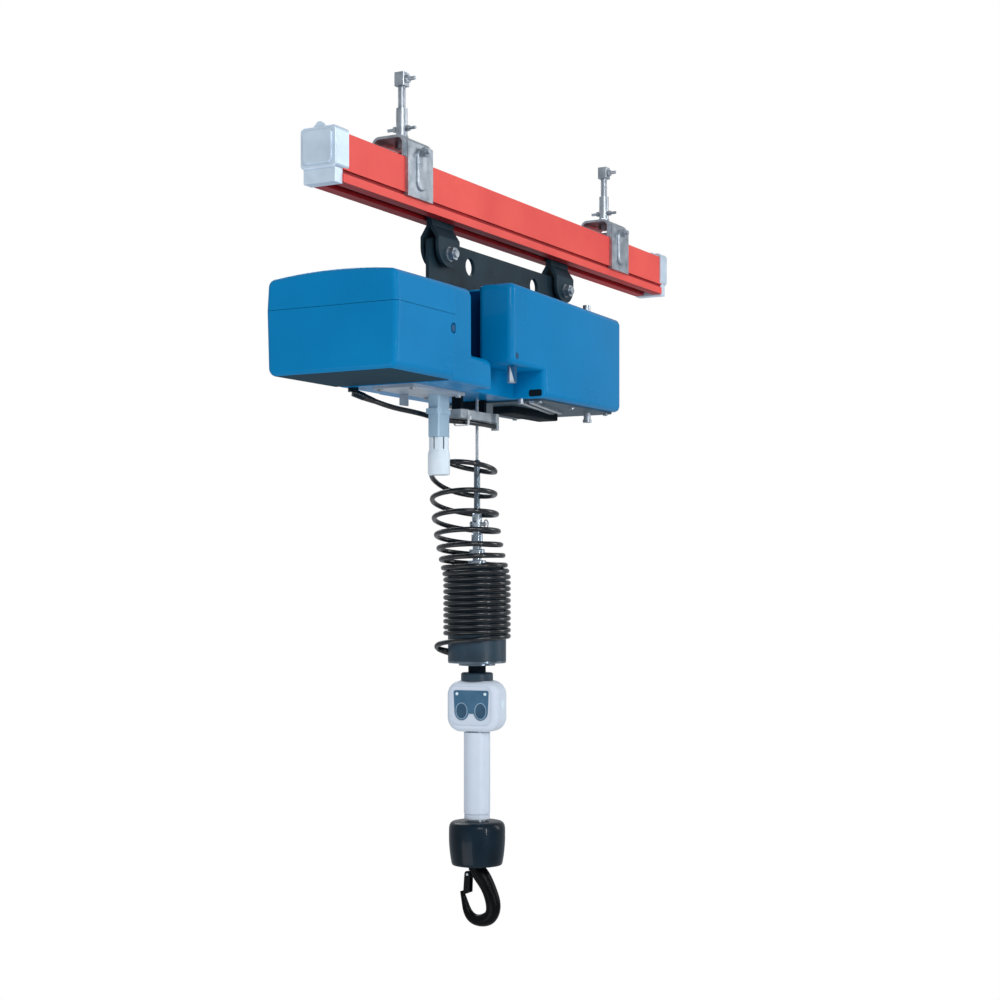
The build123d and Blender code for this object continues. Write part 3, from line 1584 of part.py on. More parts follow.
def head_shell(side):
    """Front (-1) or back (1) shell of the control head, split across its depth."""
    with BuildPart() as shell:
        with BuildSketch(head_face(0)) as front_view:
            with Locations((0, head_top - head_height / 2)):
                RectangleRounded(head_width, head_height, head_shoulder)
        extrude(amount=side * head_depth / 2)
        outside = shell.faces().sort_by(Axis((0, 0, 0), head_face(0).z_dir))[0 if side < 0 else -1]
        fillet(outside.edges(), head_edge)
        with BuildSketch(head_face(0)):
            with Locations((0, head_top - head_height / 2)):
                RectangleRounded(
                    head_width - 2 * head_wall, head_height - 2 * head_wall, head_shoulder - head_wall
                )
        extrude(amount=side * (head_depth / 2 - head_wall), mode=Mode.SUBTRACT)
        with BuildSketch(turned(head_low - 1)):
            Circle(core_radius + fit)
        extrude(amount=head_height + 2, mode=Mode.SUBTRACT)
        if side < 0:
            with BuildSketch(head_face(-head_depth / 2)):
                with Locations((0, bezel_z)):
                    RectangleRounded(bezel_width, bezel_height, bezel_round)
            extrude(amount=bezel_depth, mode=Mode.SUBTRACT)
            with BuildSketch(head_face(-head_depth / 2)):
                with Locations((-button_spacing / 2, button_z), (button_spacing / 2, button_z)):
                    Ellipse(button_width / 2 + clearance, button_height / 2 + clearance)
            extrude(amount=2 * head_wall, mode=Mode.SUBTRACT)
        else:
            split_gap = 0.1
            with BuildSketch(head_face(0)):
                with Locations((0, head_top - head_height / 2)):
                    Rectangle(head_width + 2, head_height + 2)
            extrude(amount=split_gap, mode=Mode.SUBTRACT)
    return shell


head_front = head_shell(-1)
head_front.part.label = "head_front"
export_step(head_front.part, "parts/head_front.step")

head_back = head_shell(1)
head_back.part.label = "head_back"
export_step(head_back.part, "parts/head_back.step")

# Keypad: dark foil plate that narrows downward, with openings for the buttons
keypad_face = -head_depth / 2 + bezel_depth
with BuildPart() as keypad:
    with BuildSketch(head_face(keypad_face)) as foil:
        with BuildLine():
            keypad_top = head_top - keypad_drop
            Polyline(
                (-keypad_top_width / 2, keypad_top),
                (keypad_top_width / 2, keypad_top),
                (keypad_low_width / 2, keypad_top - keypad_height),
                (-keypad_low_width / 2, keypad_top - keypad_height),
                close=True,
            )
        make_face()
        fillet(foil.vertices(), 5)
        with Locations((-button_spacing / 2, button_z), (button_spacing / 2, button_z)):
            Ellipse(button_width / 2 + clearance, button_height / 2 + clearance, mode=Mode.SUBTRACT)
        with Locations((-lamp_spacing / 2, lamp_z), (lamp_spacing / 2, lamp_z)):
            Circle(lamp_radius + fit, mode=Mode.SUBTRACT)
    extrude(amount=-keypad_thickness)
keypad.part.label = "keypad"
export_step(keypad.part, "parts/keypad.step")


def push_button(y):
    """Oval button with a skirt behind the head's wall."""
    inner_wall = -head_depth / 2 + head_wall + clearance
    front = keypad_face - keypad_thickness - button_proud
    with BuildPart() as button:
        with BuildSketch(head_face(front)):
            with Locations((y, button_z)):
                Ellipse(button_width / 2, button_height / 2)
        extrude(amount=inner_wall + button_flange - front)
        tip = button.faces().sort_by(Axis((0, 0, 0), head_face(0).z_dir))[0]
        fillet(tip.edges(), 0.6)
        with BuildSketch(head_face(inner_wall)):
            with Locations((y, button_z)):
                Ellipse(button_width / 2 + button_skirt, button_height / 2 + button_skirt)
        extrude(amount=button_flange)
    return button


button_up = push_button(button_spacing / 2)
button_up.part.label = "button_up"
export_step(button_up.part, "parts/button_up.step")

button_down = push_button(-button_spacing / 2)
button_down.part.label = "button_down"
export_step(button_down.part, "parts/button_down.step")

# Head lenses: two lamps in the keypad and a window on each side of the head
with BuildPart() as head_lenses:
    with BuildSketch(head_face(keypad_face)):
        with Locations((-lamp_spacing / 2, lamp_z), (lamp_spacing / 2, lamp_z)):
            Circle(lamp_radius)
    extrude(amount=-keypad_thickness - lamp_proud)
    window_z = head_top - window_drop
    for side in (-1, 1):
        with BuildSketch(head_face(-window_width / 2)):
            with Locations((side * (head_width / 2 + window_proud / 2), window_z)):
                Rectangle(window_proud, window_height)
        extrude(amount=window_width)
head_lenses.part.label = "head_lenses"
export_step(head_lenses.part, "parts/head_lenses.step")

# Grip core: steel tube that carries the load from the puck to the lower cap
with BuildPart() as grip_core:
    with BuildSketch(level(cap_top - cap_socket, rope_x)):
        Circle(core_radius)
        Circle(core_radius - core_wall, mode=Mode.SUBTRACT)
    extrude(amount=head_top - cap_top + cap_socket)
grip_core.part.label = "grip_core"
export_step(grip_core.part, "parts/grip_core.step")

# Grip sleeve: the light tube that the hand holds, with a groove above its lower ring
with BuildPart() as grip_sleeve:
    with BuildSketch(spin()):
        ring_top = grip_low + grip_ring
        with BuildLine():
            Polyline(
                (core_radius + fit, grip_low),
                (grip_radius - 1, grip_low),
                (grip_radius - 0.6, grip_low + 1),
                (grip_radius - 0.6, ring_top - grip_groove),
                (grip_radius - 2 * grip_groove, ring_top),
                (grip_radius, ring_top + grip_groove),
                (grip_radius, head_low - grip_play),
                (core_radius + fit, head_low - grip_play),
                close=True,
            )
        make_face()
    revolve(axis=rope_axis)
grip_sleeve.part.label = "grip_sleeve"
export_step(grip_sleeve.part, "parts/grip_sleeve.step")

# Lower cap: round shoulder, slight taper, and inside it the seat of the hook's flange
with BuildPart() as lower_cap:
    with BuildSketch(spin()):
        taper_z = cap_top - cap_taper_start
        seat_high = cap_top - hook_flange_depth + hook_flange_height + clearance
        seat_low = cap_top - hook_flange_depth - 2 * fit
        with BuildLine():
            top_line = Polyline(
                (0, cap_top - cap_socket - fit),
                (core_radius + fit, cap_top - cap_socket - fit),
                (core_radius + fit, cap_top),
                (grip_radius + 1, cap_top),
                (cap_shoulder, cap_top - 2),
            )
            shoulder_end = (cap_radius, cap_top - 12)
            TangentArc(top_line @ 1, shoulder_end, tangent=(1, -0.12))
            waist = (cap_radius - 0.6, taper_z)
            foot_start = (cap_low_radius, cap_low + 1)
            Spline(shoulder_end, waist, foot_start, tangents=((0, -1), (-0.35, -1)))
            Polyline(
                foot_start,
                (cap_low_radius - 1, cap_low),
                (hook_shank_radius + fit, cap_low),
                (hook_shank_radius + fit, seat_low),
                (hook_flange_radius + clearance, seat_low),
                (hook_flange_radius + clearance, seat_high),
                (0, seat_high),
                (0, cap_top - cap_socket - fit),
            )
        make_face()
    revolve(axis=rope_axis)
lower_cap.part.label = "lower_cap"
export_step(lower_cap.part, "parts/lower_cap.step")

# Hook: turned shank with its flange, and a bowl of round sections that thins toward the tip
hook_stations = (
    (0, 4, 13),
    (-6, 14, 13),
    (-17.5, 30, 12.3),
    (-26.5, 49, 11.8),
    (-29.5, 68, 11.5),
    (-23, 82, 11),
    (-6.5, 88.3, 9.6),
    (10.5, 84, 8),
    (20, 69, 6.2),
    (24.5, 54, 4.5),
    (28, 44, 2.8),
)


def station_plane(index):
    """Plane square to the hook's centre line at one of its stations."""
    y, drop, _ = hook_stations[index]
    before = hook_stations[max(index - 1, 0)]
    after = hook_stations[min(index + 1, len(hook_stations) - 1)]
    run = Vector(0, after[0] - before[0], before[1] - after[1])
    if index == 0:
        run = Vector(0, 0, -1)
    return Plane(origin=(rope_x, y, cap_low - drop), x_dir=(1, 0, 0), z_dir=run.normalized())


with BuildPart() as hook:
    for index, station in enumerate(hook_stations):
        with BuildSketch(station_plane(index)):
            Circle(station[2])
    loft()
    with BuildSketch(spin()):
        flange_low = cap_top - hook_flange_depth
        with BuildLine():
            Polyline(
                (0, cap_low - hook_collar_drop),
                (hook_collar_radius, cap_low - hook_collar_drop),
                (hook_collar_radius, shank_low),
                (hook_shank_radius, shank_low),
                (hook_shank_radius, flange_low),
                (hook_flange_radius, flange_low),
                (hook_flange_radius, flange_low + hook_flange_height),
                (0, flange_low + hook_flange_height),
                close=True,
            )
        make_face()
    revolve(axis=rope_axis)
    latch_z = cap_low - latch_pin_drop
    with BuildSketch(hook_face(-latch_lug_half)):
        with Locations((latch_pin_y, latch_z)):
            Circle(latch_ear)
        with Locations((latch_pin_y / 2 + 1, latch_z)):
            Rectangle(latch_pin_y, 2 * latch_ear)
    extrude(amount=2 * latch_lug_half)
    with BuildSketch(hook_face(-2 * latch_lug_half)):
        with Locations((latch_pin_y, latch_z)):
            Circle(latch_pin_radius + fit)
    extrude(amount=4 * latch_lug_half, mode=Mode.SUBTRACT)
hook.part.label = "hook"
export_step(hook.part, "parts/hook.step")

# Hook latch: pressed channel whose ears straddle the lug and whose end closes the throat
with BuildPart() as hook_latch:
    ear_in = latch_lug_half + clearance
    ear_out = ear_in + latch_plate
    with BuildSketch(hook_face(-ear_out)):
        with Locations((latch_pin_y, latch_z)):
            Circle(latch_ear + 0.5)
        with BuildLine():
            Polyline(
                (latch_pin_y - latch_ear * 0.6, latch_z - 3),
                (latch_pin_y + latch_ear + 0.5, latch_z),
                (latch_pin_y + latch_ear + 3, latch_z - latch_reach),
                (latch_pin_y - 2, latch_z - latch_reach + 4),
                close=True,
            )
        make_face()
    extrude(amount=2 * ear_out)
    with BuildSketch(hook_face(-ear_in)):
        with BuildLine():
            Polyline(
                (latch_pin_y - 4 * latch_ear, latch_z + 3 * latch_ear),
                (latch_pin_y + 4 * latch_ear, latch_z + 3 * latch_ear),
                (latch_pin_y + 4 * latch_ear, latch_z - latch_ear - 2),
                (latch_pin_y + latch_ear - latch_plate + 1.2, latch_z - latch_ear - 2),
                (latch_pin_y + latch_ear - latch_plate + 3, latch_z - 2 * latch_reach),
                (latch_pin_y - 4 * latch_ear, latch_z - 2 * latch_reach),
                close=True,
            )
        make_face()
    extrude(amount=2 * ear_in, mode=Mode.SUBTRACT)
    with BuildSketch(hook_face(-2 * ear_out)):
        with Locations((latch_pin_y, latch_z)):
            Circle(latch_pin_radius + fit)
    extrude(amount=4 * ear_out, mode=Mode.SUBTRACT)
hook_latch.part.label = "hook_latch"
export_step(hook_latch.part, "parts/hook_latch.step")

# Latch pin: riveted through the lug and the latch's ears
with BuildPart() as latch_pin:
    with BuildSketch(hook_face(-ear_out - 1)):
        with Locations((latch_pin_y, latch_z)):
            Circle(latch_pin_radius)
    extrude(amount=2 * ear_out + 2)
latch_pin.part.label = "latch_pin"
export_step(latch_pin.part, "parts/latch_pin.step")
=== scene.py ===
import bpy
import bmesh
import math
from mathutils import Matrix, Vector


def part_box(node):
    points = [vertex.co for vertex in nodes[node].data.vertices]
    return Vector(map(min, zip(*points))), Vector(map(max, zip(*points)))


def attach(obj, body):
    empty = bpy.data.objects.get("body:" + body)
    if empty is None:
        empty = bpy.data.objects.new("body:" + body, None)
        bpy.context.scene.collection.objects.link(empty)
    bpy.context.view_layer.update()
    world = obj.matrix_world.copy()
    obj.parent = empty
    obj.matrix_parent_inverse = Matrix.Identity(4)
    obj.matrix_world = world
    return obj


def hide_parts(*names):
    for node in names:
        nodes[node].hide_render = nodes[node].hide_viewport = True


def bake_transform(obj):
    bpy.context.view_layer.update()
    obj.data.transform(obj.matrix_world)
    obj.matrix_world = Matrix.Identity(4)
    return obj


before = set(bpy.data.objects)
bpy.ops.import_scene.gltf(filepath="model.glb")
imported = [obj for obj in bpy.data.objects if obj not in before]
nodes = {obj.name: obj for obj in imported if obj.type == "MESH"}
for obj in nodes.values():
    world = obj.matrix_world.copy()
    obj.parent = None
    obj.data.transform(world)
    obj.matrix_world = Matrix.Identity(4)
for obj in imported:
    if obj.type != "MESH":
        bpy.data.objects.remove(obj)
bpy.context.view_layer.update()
mm = 0.001
ropeX = -0.120  # the rope hangs here, and the handle with it
scene = bpy.context.scene


# small helpers


def srgb(r, g, b):
    # photo colour, 0 to 255, to the linear values that the shader wants
    def lin(c):
        c = c / 255
        return c / 12.92 if c <= 0.04045 else ((c + 0.055) / 1.055) ** 2.4
    return (lin(r), lin(g), lin(b), 1.0)


def newMaterial(name):
    mat = bpy.data.materials.new(name)
    mat.use_nodes = True
    tree = mat.node_tree
    shader = tree.nodes["Principled BSDF"]
    coords = tree.nodes.new("ShaderNodeTexCoord")
    mapping = tree.nodes.new("ShaderNodeMapping")
    tree.links.new(coords.outputs["Object"], mapping.inputs["Vector"])
    return mat, tree, shader, mapping


def noise(tree, mapping, scale, detail):
    tex = tree.nodes.new("ShaderNodeTexNoise")
    tex.inputs["Scale"].default_value = scale
    tex.inputs["Detail"].default_value = detail
    tex.inputs["Roughness"].default_value = 0.55
    tree.links.new(mapping.outputs["Vector"], tex.inputs["Vector"])
    return tex


def spread(tree, source, low, high):
    # the middle of a noise pattern, stretched over the values from low to high
    node = tree.nodes.new("ShaderNodeMapRange")
    node.inputs["From Min"].default_value = 0.3
    node.inputs["From Max"].default_value = 0.7
    node.inputs["To Min"].default_value = low
    node.inputs["To Max"].default_value = high
    tree.links.new(source, node.inputs["Value"])
    return node.outputs["Result"]


def twoTone(tree, factor, first, second):
    mix = tree.nodes.new("ShaderNodeMix")
    mix.data_type = "RGBA"
    tree.links.new(factor, mix.inputs["Factor"])
    mix.inputs["A"].default_value = first
    mix.inputs["B"].default_value = second
    return mix.outputs["Result"]


def addBump(tree, shader, height, strength, distance):
    bump = tree.nodes.new("ShaderNodeBump")
    bump.inputs["Strength"].default_value = strength
    bump.inputs["Distance"].default_value = distance
    tree.links.new(height, bump.inputs["Height"])
    tree.links.new(bump.outputs["Normal"], shader.inputs["Normal"])


def finishMaterial(name, light, dark, rough, grain=900.0, bump=0.12, depth=0.0002,
                   metal=0.0, coat=0.0, stretch=(1, 1, 1), cloud=9.0, specular=0.25):
    # slow clouds between two photo colours, fine grain in the bump and uneven gloss
    mat, tree, shader, mapping = newMaterial(name)
    mapping.inputs["Scale"].default_value = stretch
    clouds = noise(tree, mapping, cloud, 4.0)
    fine = noise(tree, mapping, grain, 2.0)
    tone = twoTone(tree, spread(tree, clouds.outputs["Fac"], 0, 1), srgb(*dark), srgb(*light))
    tree.links.new(tone, shader.inputs["Base Color"])
    tree.links.new(spread(tree, clouds.outputs["Fac"], rough * 0.85, rough * 1.15),
                   shader.inputs["Roughness"])
    addBump(tree, shader, fine.outputs["Fac"], bump, depth)
    shader.inputs["Metallic"].default_value = metal
    shader.inputs["Coat Weight"].default_value = coat
    shader.inputs["Coat Roughness"].default_value = 0.08
    shader.inputs["Specular IOR Level"].default_value = specular
    return mat


def meshObject(name, bm, mat):
    mesh = bpy.data.meshes.new(name)
    bm.to_mesh(mesh)
    bm.free()
    obj = bpy.data.objects.new(name, mesh)
    scene.collection.objects.link(obj)
    mesh.materials.append(mat)
    return obj


def smooth(obj, angle):
    # smooth shading, with edges above the angle in degrees kept sharp
    for face in obj.data.polygons:
        face.use_smooth = True
    obj.data.set_sharp_from_angle(angle=math.radians(angle))


def place(obj, body, slot, *replaced):
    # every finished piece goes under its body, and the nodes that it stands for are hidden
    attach(obj, body)
    if replaced:
        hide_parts(*replaced)
    return obj


def skin(bm, rings):
    # faces from ring to ring, and one at each end
    for a, b in zip(rings, rings[1:]):
        for k in range(len(a)):
            j = (k + 1) % len(a)
            bm.faces.new((a[k], a[j], b[j], b[k]))
    bm.faces.new(list(reversed(rings[0])))
    bm.faces.new(rings[-1])
    bmesh.ops.recalc_face_normals(bm, faces=bm.faces)


def bake(obj):
    # the evaluated shape as a plain mesh, with no modifier left
    graph = bpy.context.evaluated_depsgraph_get()
    mesh = bpy.data.meshes.new_from_object(obj.evaluated_get(graph))
    made = bpy.data.objects.new(obj.name + "Mesh", mesh)
    scene.collection.objects.link(made)
    name = obj.name
    bpy.data.objects.remove(obj)
    made.name = name
    return made


print("materials")

looks = {
    "railRed": dict(light=(234, 84, 74), dark=(222, 68, 62), rough=0.42,
                    grain=700, bump=0.06, specular=0.3),
    # painted shade: darker red for the rail's groove and its inside
    "railShadeRed": dict(light=(176, 30, 36), dark=(140, 20, 28), rough=0.5,
                      grain=700, bump=0.06, specular=0.2),
    "capSilver": dict(light=(218, 234, 248), dark=(190, 208, 224), rough=0.36,
                      grain=1100, bump=0.08, metal=0.4, cloud=18),
    "zinc": dict(light=(186, 194, 202), dark=(140, 150, 160), rough=0.32,
                 grain=600, bump=0.08, metal=0.85, cloud=60),
    "swivelSteel": dict(light=(204, 216, 226), dark=(142, 158, 172), rough=0.26,
                        grain=900, bump=0.05, metal=0.8, cloud=40),
    "polished": dict(light=(126, 140, 152), dark=(88, 102, 114), rough=0.24,
                     grain=900, bump=0.05, metal=0.95, stretch=(1, 1, 6), cloud=40),
    "blackSteel": dict(light=(38, 58, 69), dark=(24, 38, 46), rough=0.38,
                       grain=1500, bump=0.15, cloud=14, specular=0.1),
    "forged": dict(light=(12, 15, 18), dark=(4, 5, 7), rough=0.24,
                   grain=260, bump=0.4, depth=0.0006, cloud=40, specular=0.07),
    "nylon": dict(light=(66, 68, 70), dark=(52, 54, 56), rough=0.5),
    "coverBlue": dict(light=(2, 124, 182), dark=(1, 116, 172), rough=0.3,
                      grain=420, bump=0.02, coat=0.12, cloud=6, specular=0.04),
    "slate": dict(light=(42, 68, 82), dark=(34, 58, 72), rough=0.6,
                  grain=700, bump=0.15, cloud=10, specular=0.01),
    "blackPlastic": dict(light=(8, 30, 44), dark=(2, 14, 22), rough=0.3,
                         grain=1300, bump=0.04, coat=0.16, cloud=18, specular=0.1),
    # black plastic of the bell and puck, its colour lifted to blue-grey as a painted sheen
    "bellPlasticSheen": dict(light=(34, 62, 80), dark=(20, 42, 56), rough=0.42,
                        grain=1300, bump=0.04, cloud=18, specular=0.4),
    # black for dark parts, and also painted shade on the limit bar, the guide's core and the cover's slot
    "blackPartsAndShade": dict(light=(20, 32, 40), dark=(12, 20, 26), rough=0.6,
                       grain=800, bump=0.25, cloud=20, specular=0.03),
    # painted shade: darker blue for the drive cover's set-back end
    "notchShadeBlue": dict(light=(6, 56, 104), dark=(4, 44, 88), rough=0.6,
                       grain=420, bump=0.04, cloud=6, specular=0.02),
    # painted shade: dark blue for screws sunk in recesses, where shade falls
    "screwRecessShade": dict(light=(8, 84, 128), dark=(4, 64, 102), rough=0.4,
                      grain=900, bump=0.1, cloud=60, specular=0.15),
    "motorGrey": dict(light=(120, 126, 130), dark=(104, 110, 114), rough=0.45),
    "postBlue": dict(light=(172, 200, 220), dark=(148, 178, 200), rough=0.3,
                     grain=800, bump=0.05, metal=0.3, stretch=(1, 1, 0.2), cloud=30),
    "white": dict(light=(206, 216, 230), dark=(194, 206, 220), rough=0.34,
                  grain=1200, bump=0.05, coat=0.1, cloud=12, specular=0.35),
    "guideWhite": dict(light=(222, 234, 242), dark=(206, 220, 230), rough=0.4,
                       grain=1200, bump=0.06, cloud=20, specular=0.3),
    "trayGrey": dict(light=(72, 92, 106), dark=(52, 70, 82), rough=0.45,
                     grain=800, bump=0.08, metal=0.15, cloud=22, specular=0.08),
    "plateGrey": dict(light=(176, 188, 200), dark=(150, 164, 178), rough=0.4,
                      grain=800, bump=0.08, metal=0.4, cloud=22),
    "stripSilver": dict(light=(196, 204, 210), dark=(160, 170, 178), rough=0.3,
                        grain=900, bump=0.05, metal=0.85, cloud=40),
    "barGrey": dict(light=(180, 188, 194), dark=(140, 150, 158), rough=0.45,
                    grain=900, bump=0.08, metal=0.3, cloud=45),
    "rubber": dict(light=(12, 22, 30), dark=(4, 9, 13), rough=0.22,
                   grain=1600, bump=0.05, cloud=25, specular=0.5),
    "keypad": dict(light=(72, 110, 138), dark=(60, 96, 124), rough=0.35,
                   grain=2200, bump=0.08, cloud=40, specular=0.12),
    "keypadRim": dict(light=(140, 168, 190), dark=(124, 152, 176), rough=0.35,
                      grain=2200, bump=0.08, cloud=40),
    "button": dict(light=(60, 92, 116), dark=(48, 78, 102), rough=0.42,
                   grain=1800, bump=0.12, cloud=40, specular=0.12),
    "lens": dict(light=(226, 240, 248), dark=(206, 226, 238), rough=0.12, grain=400, bump=0.03, coat=0.6),
    "tieWhite": dict(light=(222, 226, 228), dark=(204, 208, 212), rough=0.4, grain=1500, bump=0.06),
}
paint = {name: finishMaterial(name, **look) for name, look in looks.items()}

finishes = {
    "railRed": ["rail"],
    "capSilver": ["end_cap_left", "end_cap_right"],
    "zinc": ["hanger_bridges", "hanger_jaws", "hanger_sleeves", "hanger_bolts", "hanger_rods",
             "trolley_bolts", "trolley_spacers", "housing_screws", "bearing_blocks",
             "rope_drum", "fork_pin", "latch_pin", "grip_core"],
    "swivelSteel": ["rope_fork", "rope_swivel"],
    "polished": ["rope_sleeve", "bell_base"],
    "blackSteel": ["trolley_yoke_left", "trolley_yoke_right", "suspension_plate", "base_plate"],
    "forged": ["hook", "hook_latch"],
    "nylon": ["wheelset_1", "wheelset_2", "wheelset_3", "wheelset_4"],
    "coverBlue": ["control_cover_upper", "control_cover_lower", "gear_housing",
                  "drive_cover_near", "drive_cover_far"],
    "bellPlasticSheen": ["bell", "handle_puck"],
    "blackPlastic": ["lower_cap", "cable_glands", "control_unit"],
    "blackPartsAndShade": ["belly_box", "rope_guide"],
    "motorGrey": ["gearmotor"],
    "postBlue": ["cable_post", "post_clip"],
    "guideWhite": ["guide_end"],
    "trayGrey": ["base_tray"],
    "plateGrey": ["cable_plate"],
    "barGrey": ["limit_bar"],
    "white": ["head_front", "head_back", "grip_sleeve"],
    "keypad": ["keypad"],
    "button": ["button_up", "button_down"],
    "lens": ["head_lenses"],
}
for matName, names in finishes.items():
    for name in names:
        mesh = nodes[name].data
        mesh.materials.clear()
        mesh.materials.append(paint[matName])


def repaint(node, matName, test):
    # second finish on those faces of a node that pass the test
    mesh = nodes[node].data
    mesh.materials.append(paint[matName])
    index = len(mesh.materials) - 1
    for face in mesh.polygons:
        if test(face):
            face.material_index = index


# where second finishes begin, in metres
border = {"grooveOut": 0.0279, "grooveIn": 0.0235, "grooveLow": -0.1912, "grooveHigh": -0.1853,
          "railInside": -0.1345, "boxUnder": -0.4625, "trayStrips": -0.4662, "barFoot": -0.4838,
          "bellNeck": -0.8865, "screwFace": -0.0985, "topGlands": -0.33, "topGlandsRight": 0.155}


def inGroove(face):
    c = face.center
    return (border["grooveIn"] < abs(c.y) < border["grooveOut"]
            and border["grooveLow"] < c.z < border["grooveHigh"])


def insideRail(face):
    return abs(face.center.y) < border["grooveIn"] and face.center.z < border["railInside"]


def underBox(face):
    return face.normal.z < -0.9 and face.center.z < border["boxUnder"]


def onTopGland(face):
    return face.center.z > border["topGlands"] and face.center.x < border["topGlandsRight"]


# painted shade: the groove's walls and the rail's inside take the darker red of the shade that falls there
repaint("rail", "railShadeRed", inGroove)
repaint("rail", "railShadeRed", insideRail)
# the lower cover's downward faces in dark slate
repaint("control_cover_lower", "slate", underBox)
repaint("base_tray", "stripSilver", lambda face: face.center.z < border["trayStrips"])
# painted shade: the limit bar above its foot is black, for the shade under the plate
repaint("limit_bar", "blackPartsAndShade", lambda face: face.center.z > border["barFoot"])
repaint("bell_base", "blackPartsAndShade", lambda face: face.center.z < border["bellNeck"])
# painted shade: the near-facing screw heads are dark blue, for the shade of their recesses
repaint("housing_screws", "screwRecessShade", lambda face: face.center.y < border["screwFace"])
repaint("cable_glands", "zinc", onTopGland)


# level camera at the photograph's place

print("camera and stage")

camera = {
    "place": (ropeX - 2.4874, -1.4194, -0.763),
    "ahead": (0.8748, 0.4845, 0.0),
    "lens": 64.8,
    "sensor": 36.0,
    "rise": 0.088,
    "reach": 60,
}
camData = bpy.data.cameras.new("photoCamera")
camData.lens = camera["lens"]
camData.sensor_width = camera["sensor"]
camData.shift_y = camera["rise"]
camData.clip_end = camera["reach"]
cam = bpy.data.objects.new("photoCamera", camData)
scene.collection.objects.link(cam)
cam.location = camera["place"]
cam.rotation_euler = Vector(camera["ahead"]).to_track_quat("-Z", "Y").to_euler()
scene.camera = cam

stage = {"floor": -3.12, "size": 80.0, "fadeFrom": 2.2, "fadeTo": 4.0, "shade": (0.86, 0.87, 0.88, 1),
         "rough": 0.85, "softLight": (0.93, 0.96, 1.0, 1), "softPower": 0.55, "white": (1, 1, 1, 1)}


def seenRays(tree):
    # 1 for what the camera sees, straight or through a clear piece
    path = tree.nodes.new("ShaderNodeLightPath")
    either = tree.nodes.new("ShaderNodeMath")
    either.operation = "MAXIMUM"
    tree.links.new(path.outputs["Is Camera Ray"], either.inputs[0])
    tree.links.new(path.outputs["Is Transmission Ray"], either.inputs[1])
    return either.outputs["Value"]


def floorMaterial():
    # pale floor that keeps the shadow, and fades to white some way from the object
    mat = bpy.data.materials.new("floorPale")
    mat.use_nodes = True
    tree = mat.node_tree
    shader = tree.nodes["Principled BSDF"]
    shader.inputs["Base Color"].default_value = stage["shade"]
    shader.inputs["Roughness"].default_value = stage["rough"]
    coords = tree.nodes.new("ShaderNodeTexCoord")
    reach = tree.nodes.new("ShaderNodeVectorMath")
    reach.operation = "LENGTH"
    fade = tree.nodes.new("ShaderNodeMapRange")
    fade.inputs["From Min"].default_value = stage["fadeFrom"]
    fade.inputs["From Max"].default_value = stage["fadeTo"]
    both = tree.nodes.new("ShaderNodeMath")
    both.operation = "MULTIPLY"
    plain = tree.nodes.new("ShaderNodeEmission")
    plain.inputs["Strength"].default_value = 1.0
    mix = tree.nodes.new("ShaderNodeMixShader")
    tree.links.new(coords.outputs["Object"], reach.inputs[0])
    tree.links.new(reach.outputs["Value"], fade.inputs["Value"])
    tree.links.new(fade.outputs["Result"], both.inputs[0])
    tree.links.new(seenRays(tree), both.inputs[1])
    tree.links.new(both.outputs["Value"], mix.inputs["Fac"])
    tree.links.new(shader.outputs["BSDF"], mix.inputs[1])
    tree.links.new(plain.outputs["Emission"], mix.inputs[2])
    tree.links.new(mix.outputs["Shader"], tree.nodes["Material Output"].inputs["Surface"])
    return mat


bm = bmesh.new()
bmesh.ops.create_grid(bm, x_segments=2, y_segments=2, size=stage["size"] / 2)
floor = meshObject("floor", bm, floorMaterial())
floor.location.z = stage["floor"]

world = bpy.data.worlds.new("studio")
scene.world = world
world.use_nodes = True
tree = world.node_tree
tree.nodes.clear()


def background(color, strength):
    node = tree.nodes.new("ShaderNodeBackground")
    node.inputs["Color"].default_value = color
    node.inputs["Strength"].default_value = strength
    return node.outputs["Background"]


# the soft light falls on the object, and the camera sees plain white
soft = background(stage["softLight"], stage["softPower"])
plain = background(stage["white"], 1.0)
mix = tree.nodes.new("ShaderNodeMixShader")
tree.links.new(seenRays(tree), mix.inputs["Fac"])
tree.links.new(soft, mix.inputs[1])
tree.links.new(plain, mix.inputs[2])
out = tree.nodes.new("ShaderNodeOutputWorld")
tree.links.new(mix.outputs["Shader"], out.inputs["Surface"])
scene.view_settings.view_transform = "Standard"

lamps = {
    "key": {"place": (-3.2, -3.0, 1.6), "size": (1.6, 1.6), "power": 70},
    "fill": {"place": (1.9, -2.6, 0.2), "size": (0.8, 2.2), "power": 26},
    "back": {"place": (1.5, 2.6, 1.8), "size": (2.0, 2.0), "power": 45},
    "low": {"place": (-2.6, 0.6, -2.2), "size": (2.2, 1.2), "power": 16},
    "edge": {"place": (-1.3, -3.0, -0.5), "size": (0.05, 2.0), "power": 22},
}
lampAim = Vector((ropeX, 0, -0.6))
for name, lamp in lamps.items():
    data = bpy.data.lights.new(name, "AREA")
    data.shape = "RECTANGLE"
    data.size, data.size_y = lamp["size"]
    data.energy = lamp["power"]
    obj = bpy.data.objects.new(name, data)
    scene.collection.objects.link(obj)
    obj.location = lamp["place"]
    obj.rotation_euler = (lampAim - obj.location).to_track_quat("-Z", "Y").to_euler()


# cords and the rope


def splineLine(name, points, steps):
    # the route as one smooth curve, read back as the points that it passes through
    curve = bpy.data.curves.new(name, "CURVE")
    curve.dimensions = "3D"
    spline = curve.splines.new("NURBS")
    spline.points.add(len(points) - 1)
    for point, co in zip(spline.points, points):
        point.co = (*co, 1)
    spline.order_u = 3
    spline.use_endpoint_u = True
    spline.resolution_u = steps
    obj = bpy.data.objects.new(name, curve)
    scene.collection.objects.link(obj)
    graph = bpy.context.evaluated_depsgraph_get()
    mesh = bpy.data.meshes.new_from_object(obj.evaluated_get(graph))
    line = [v.co.copy() for v in mesh.vertices]
    bpy.data.objects.remove(obj)
    bpy.data.meshes.remove(mesh)
    return line


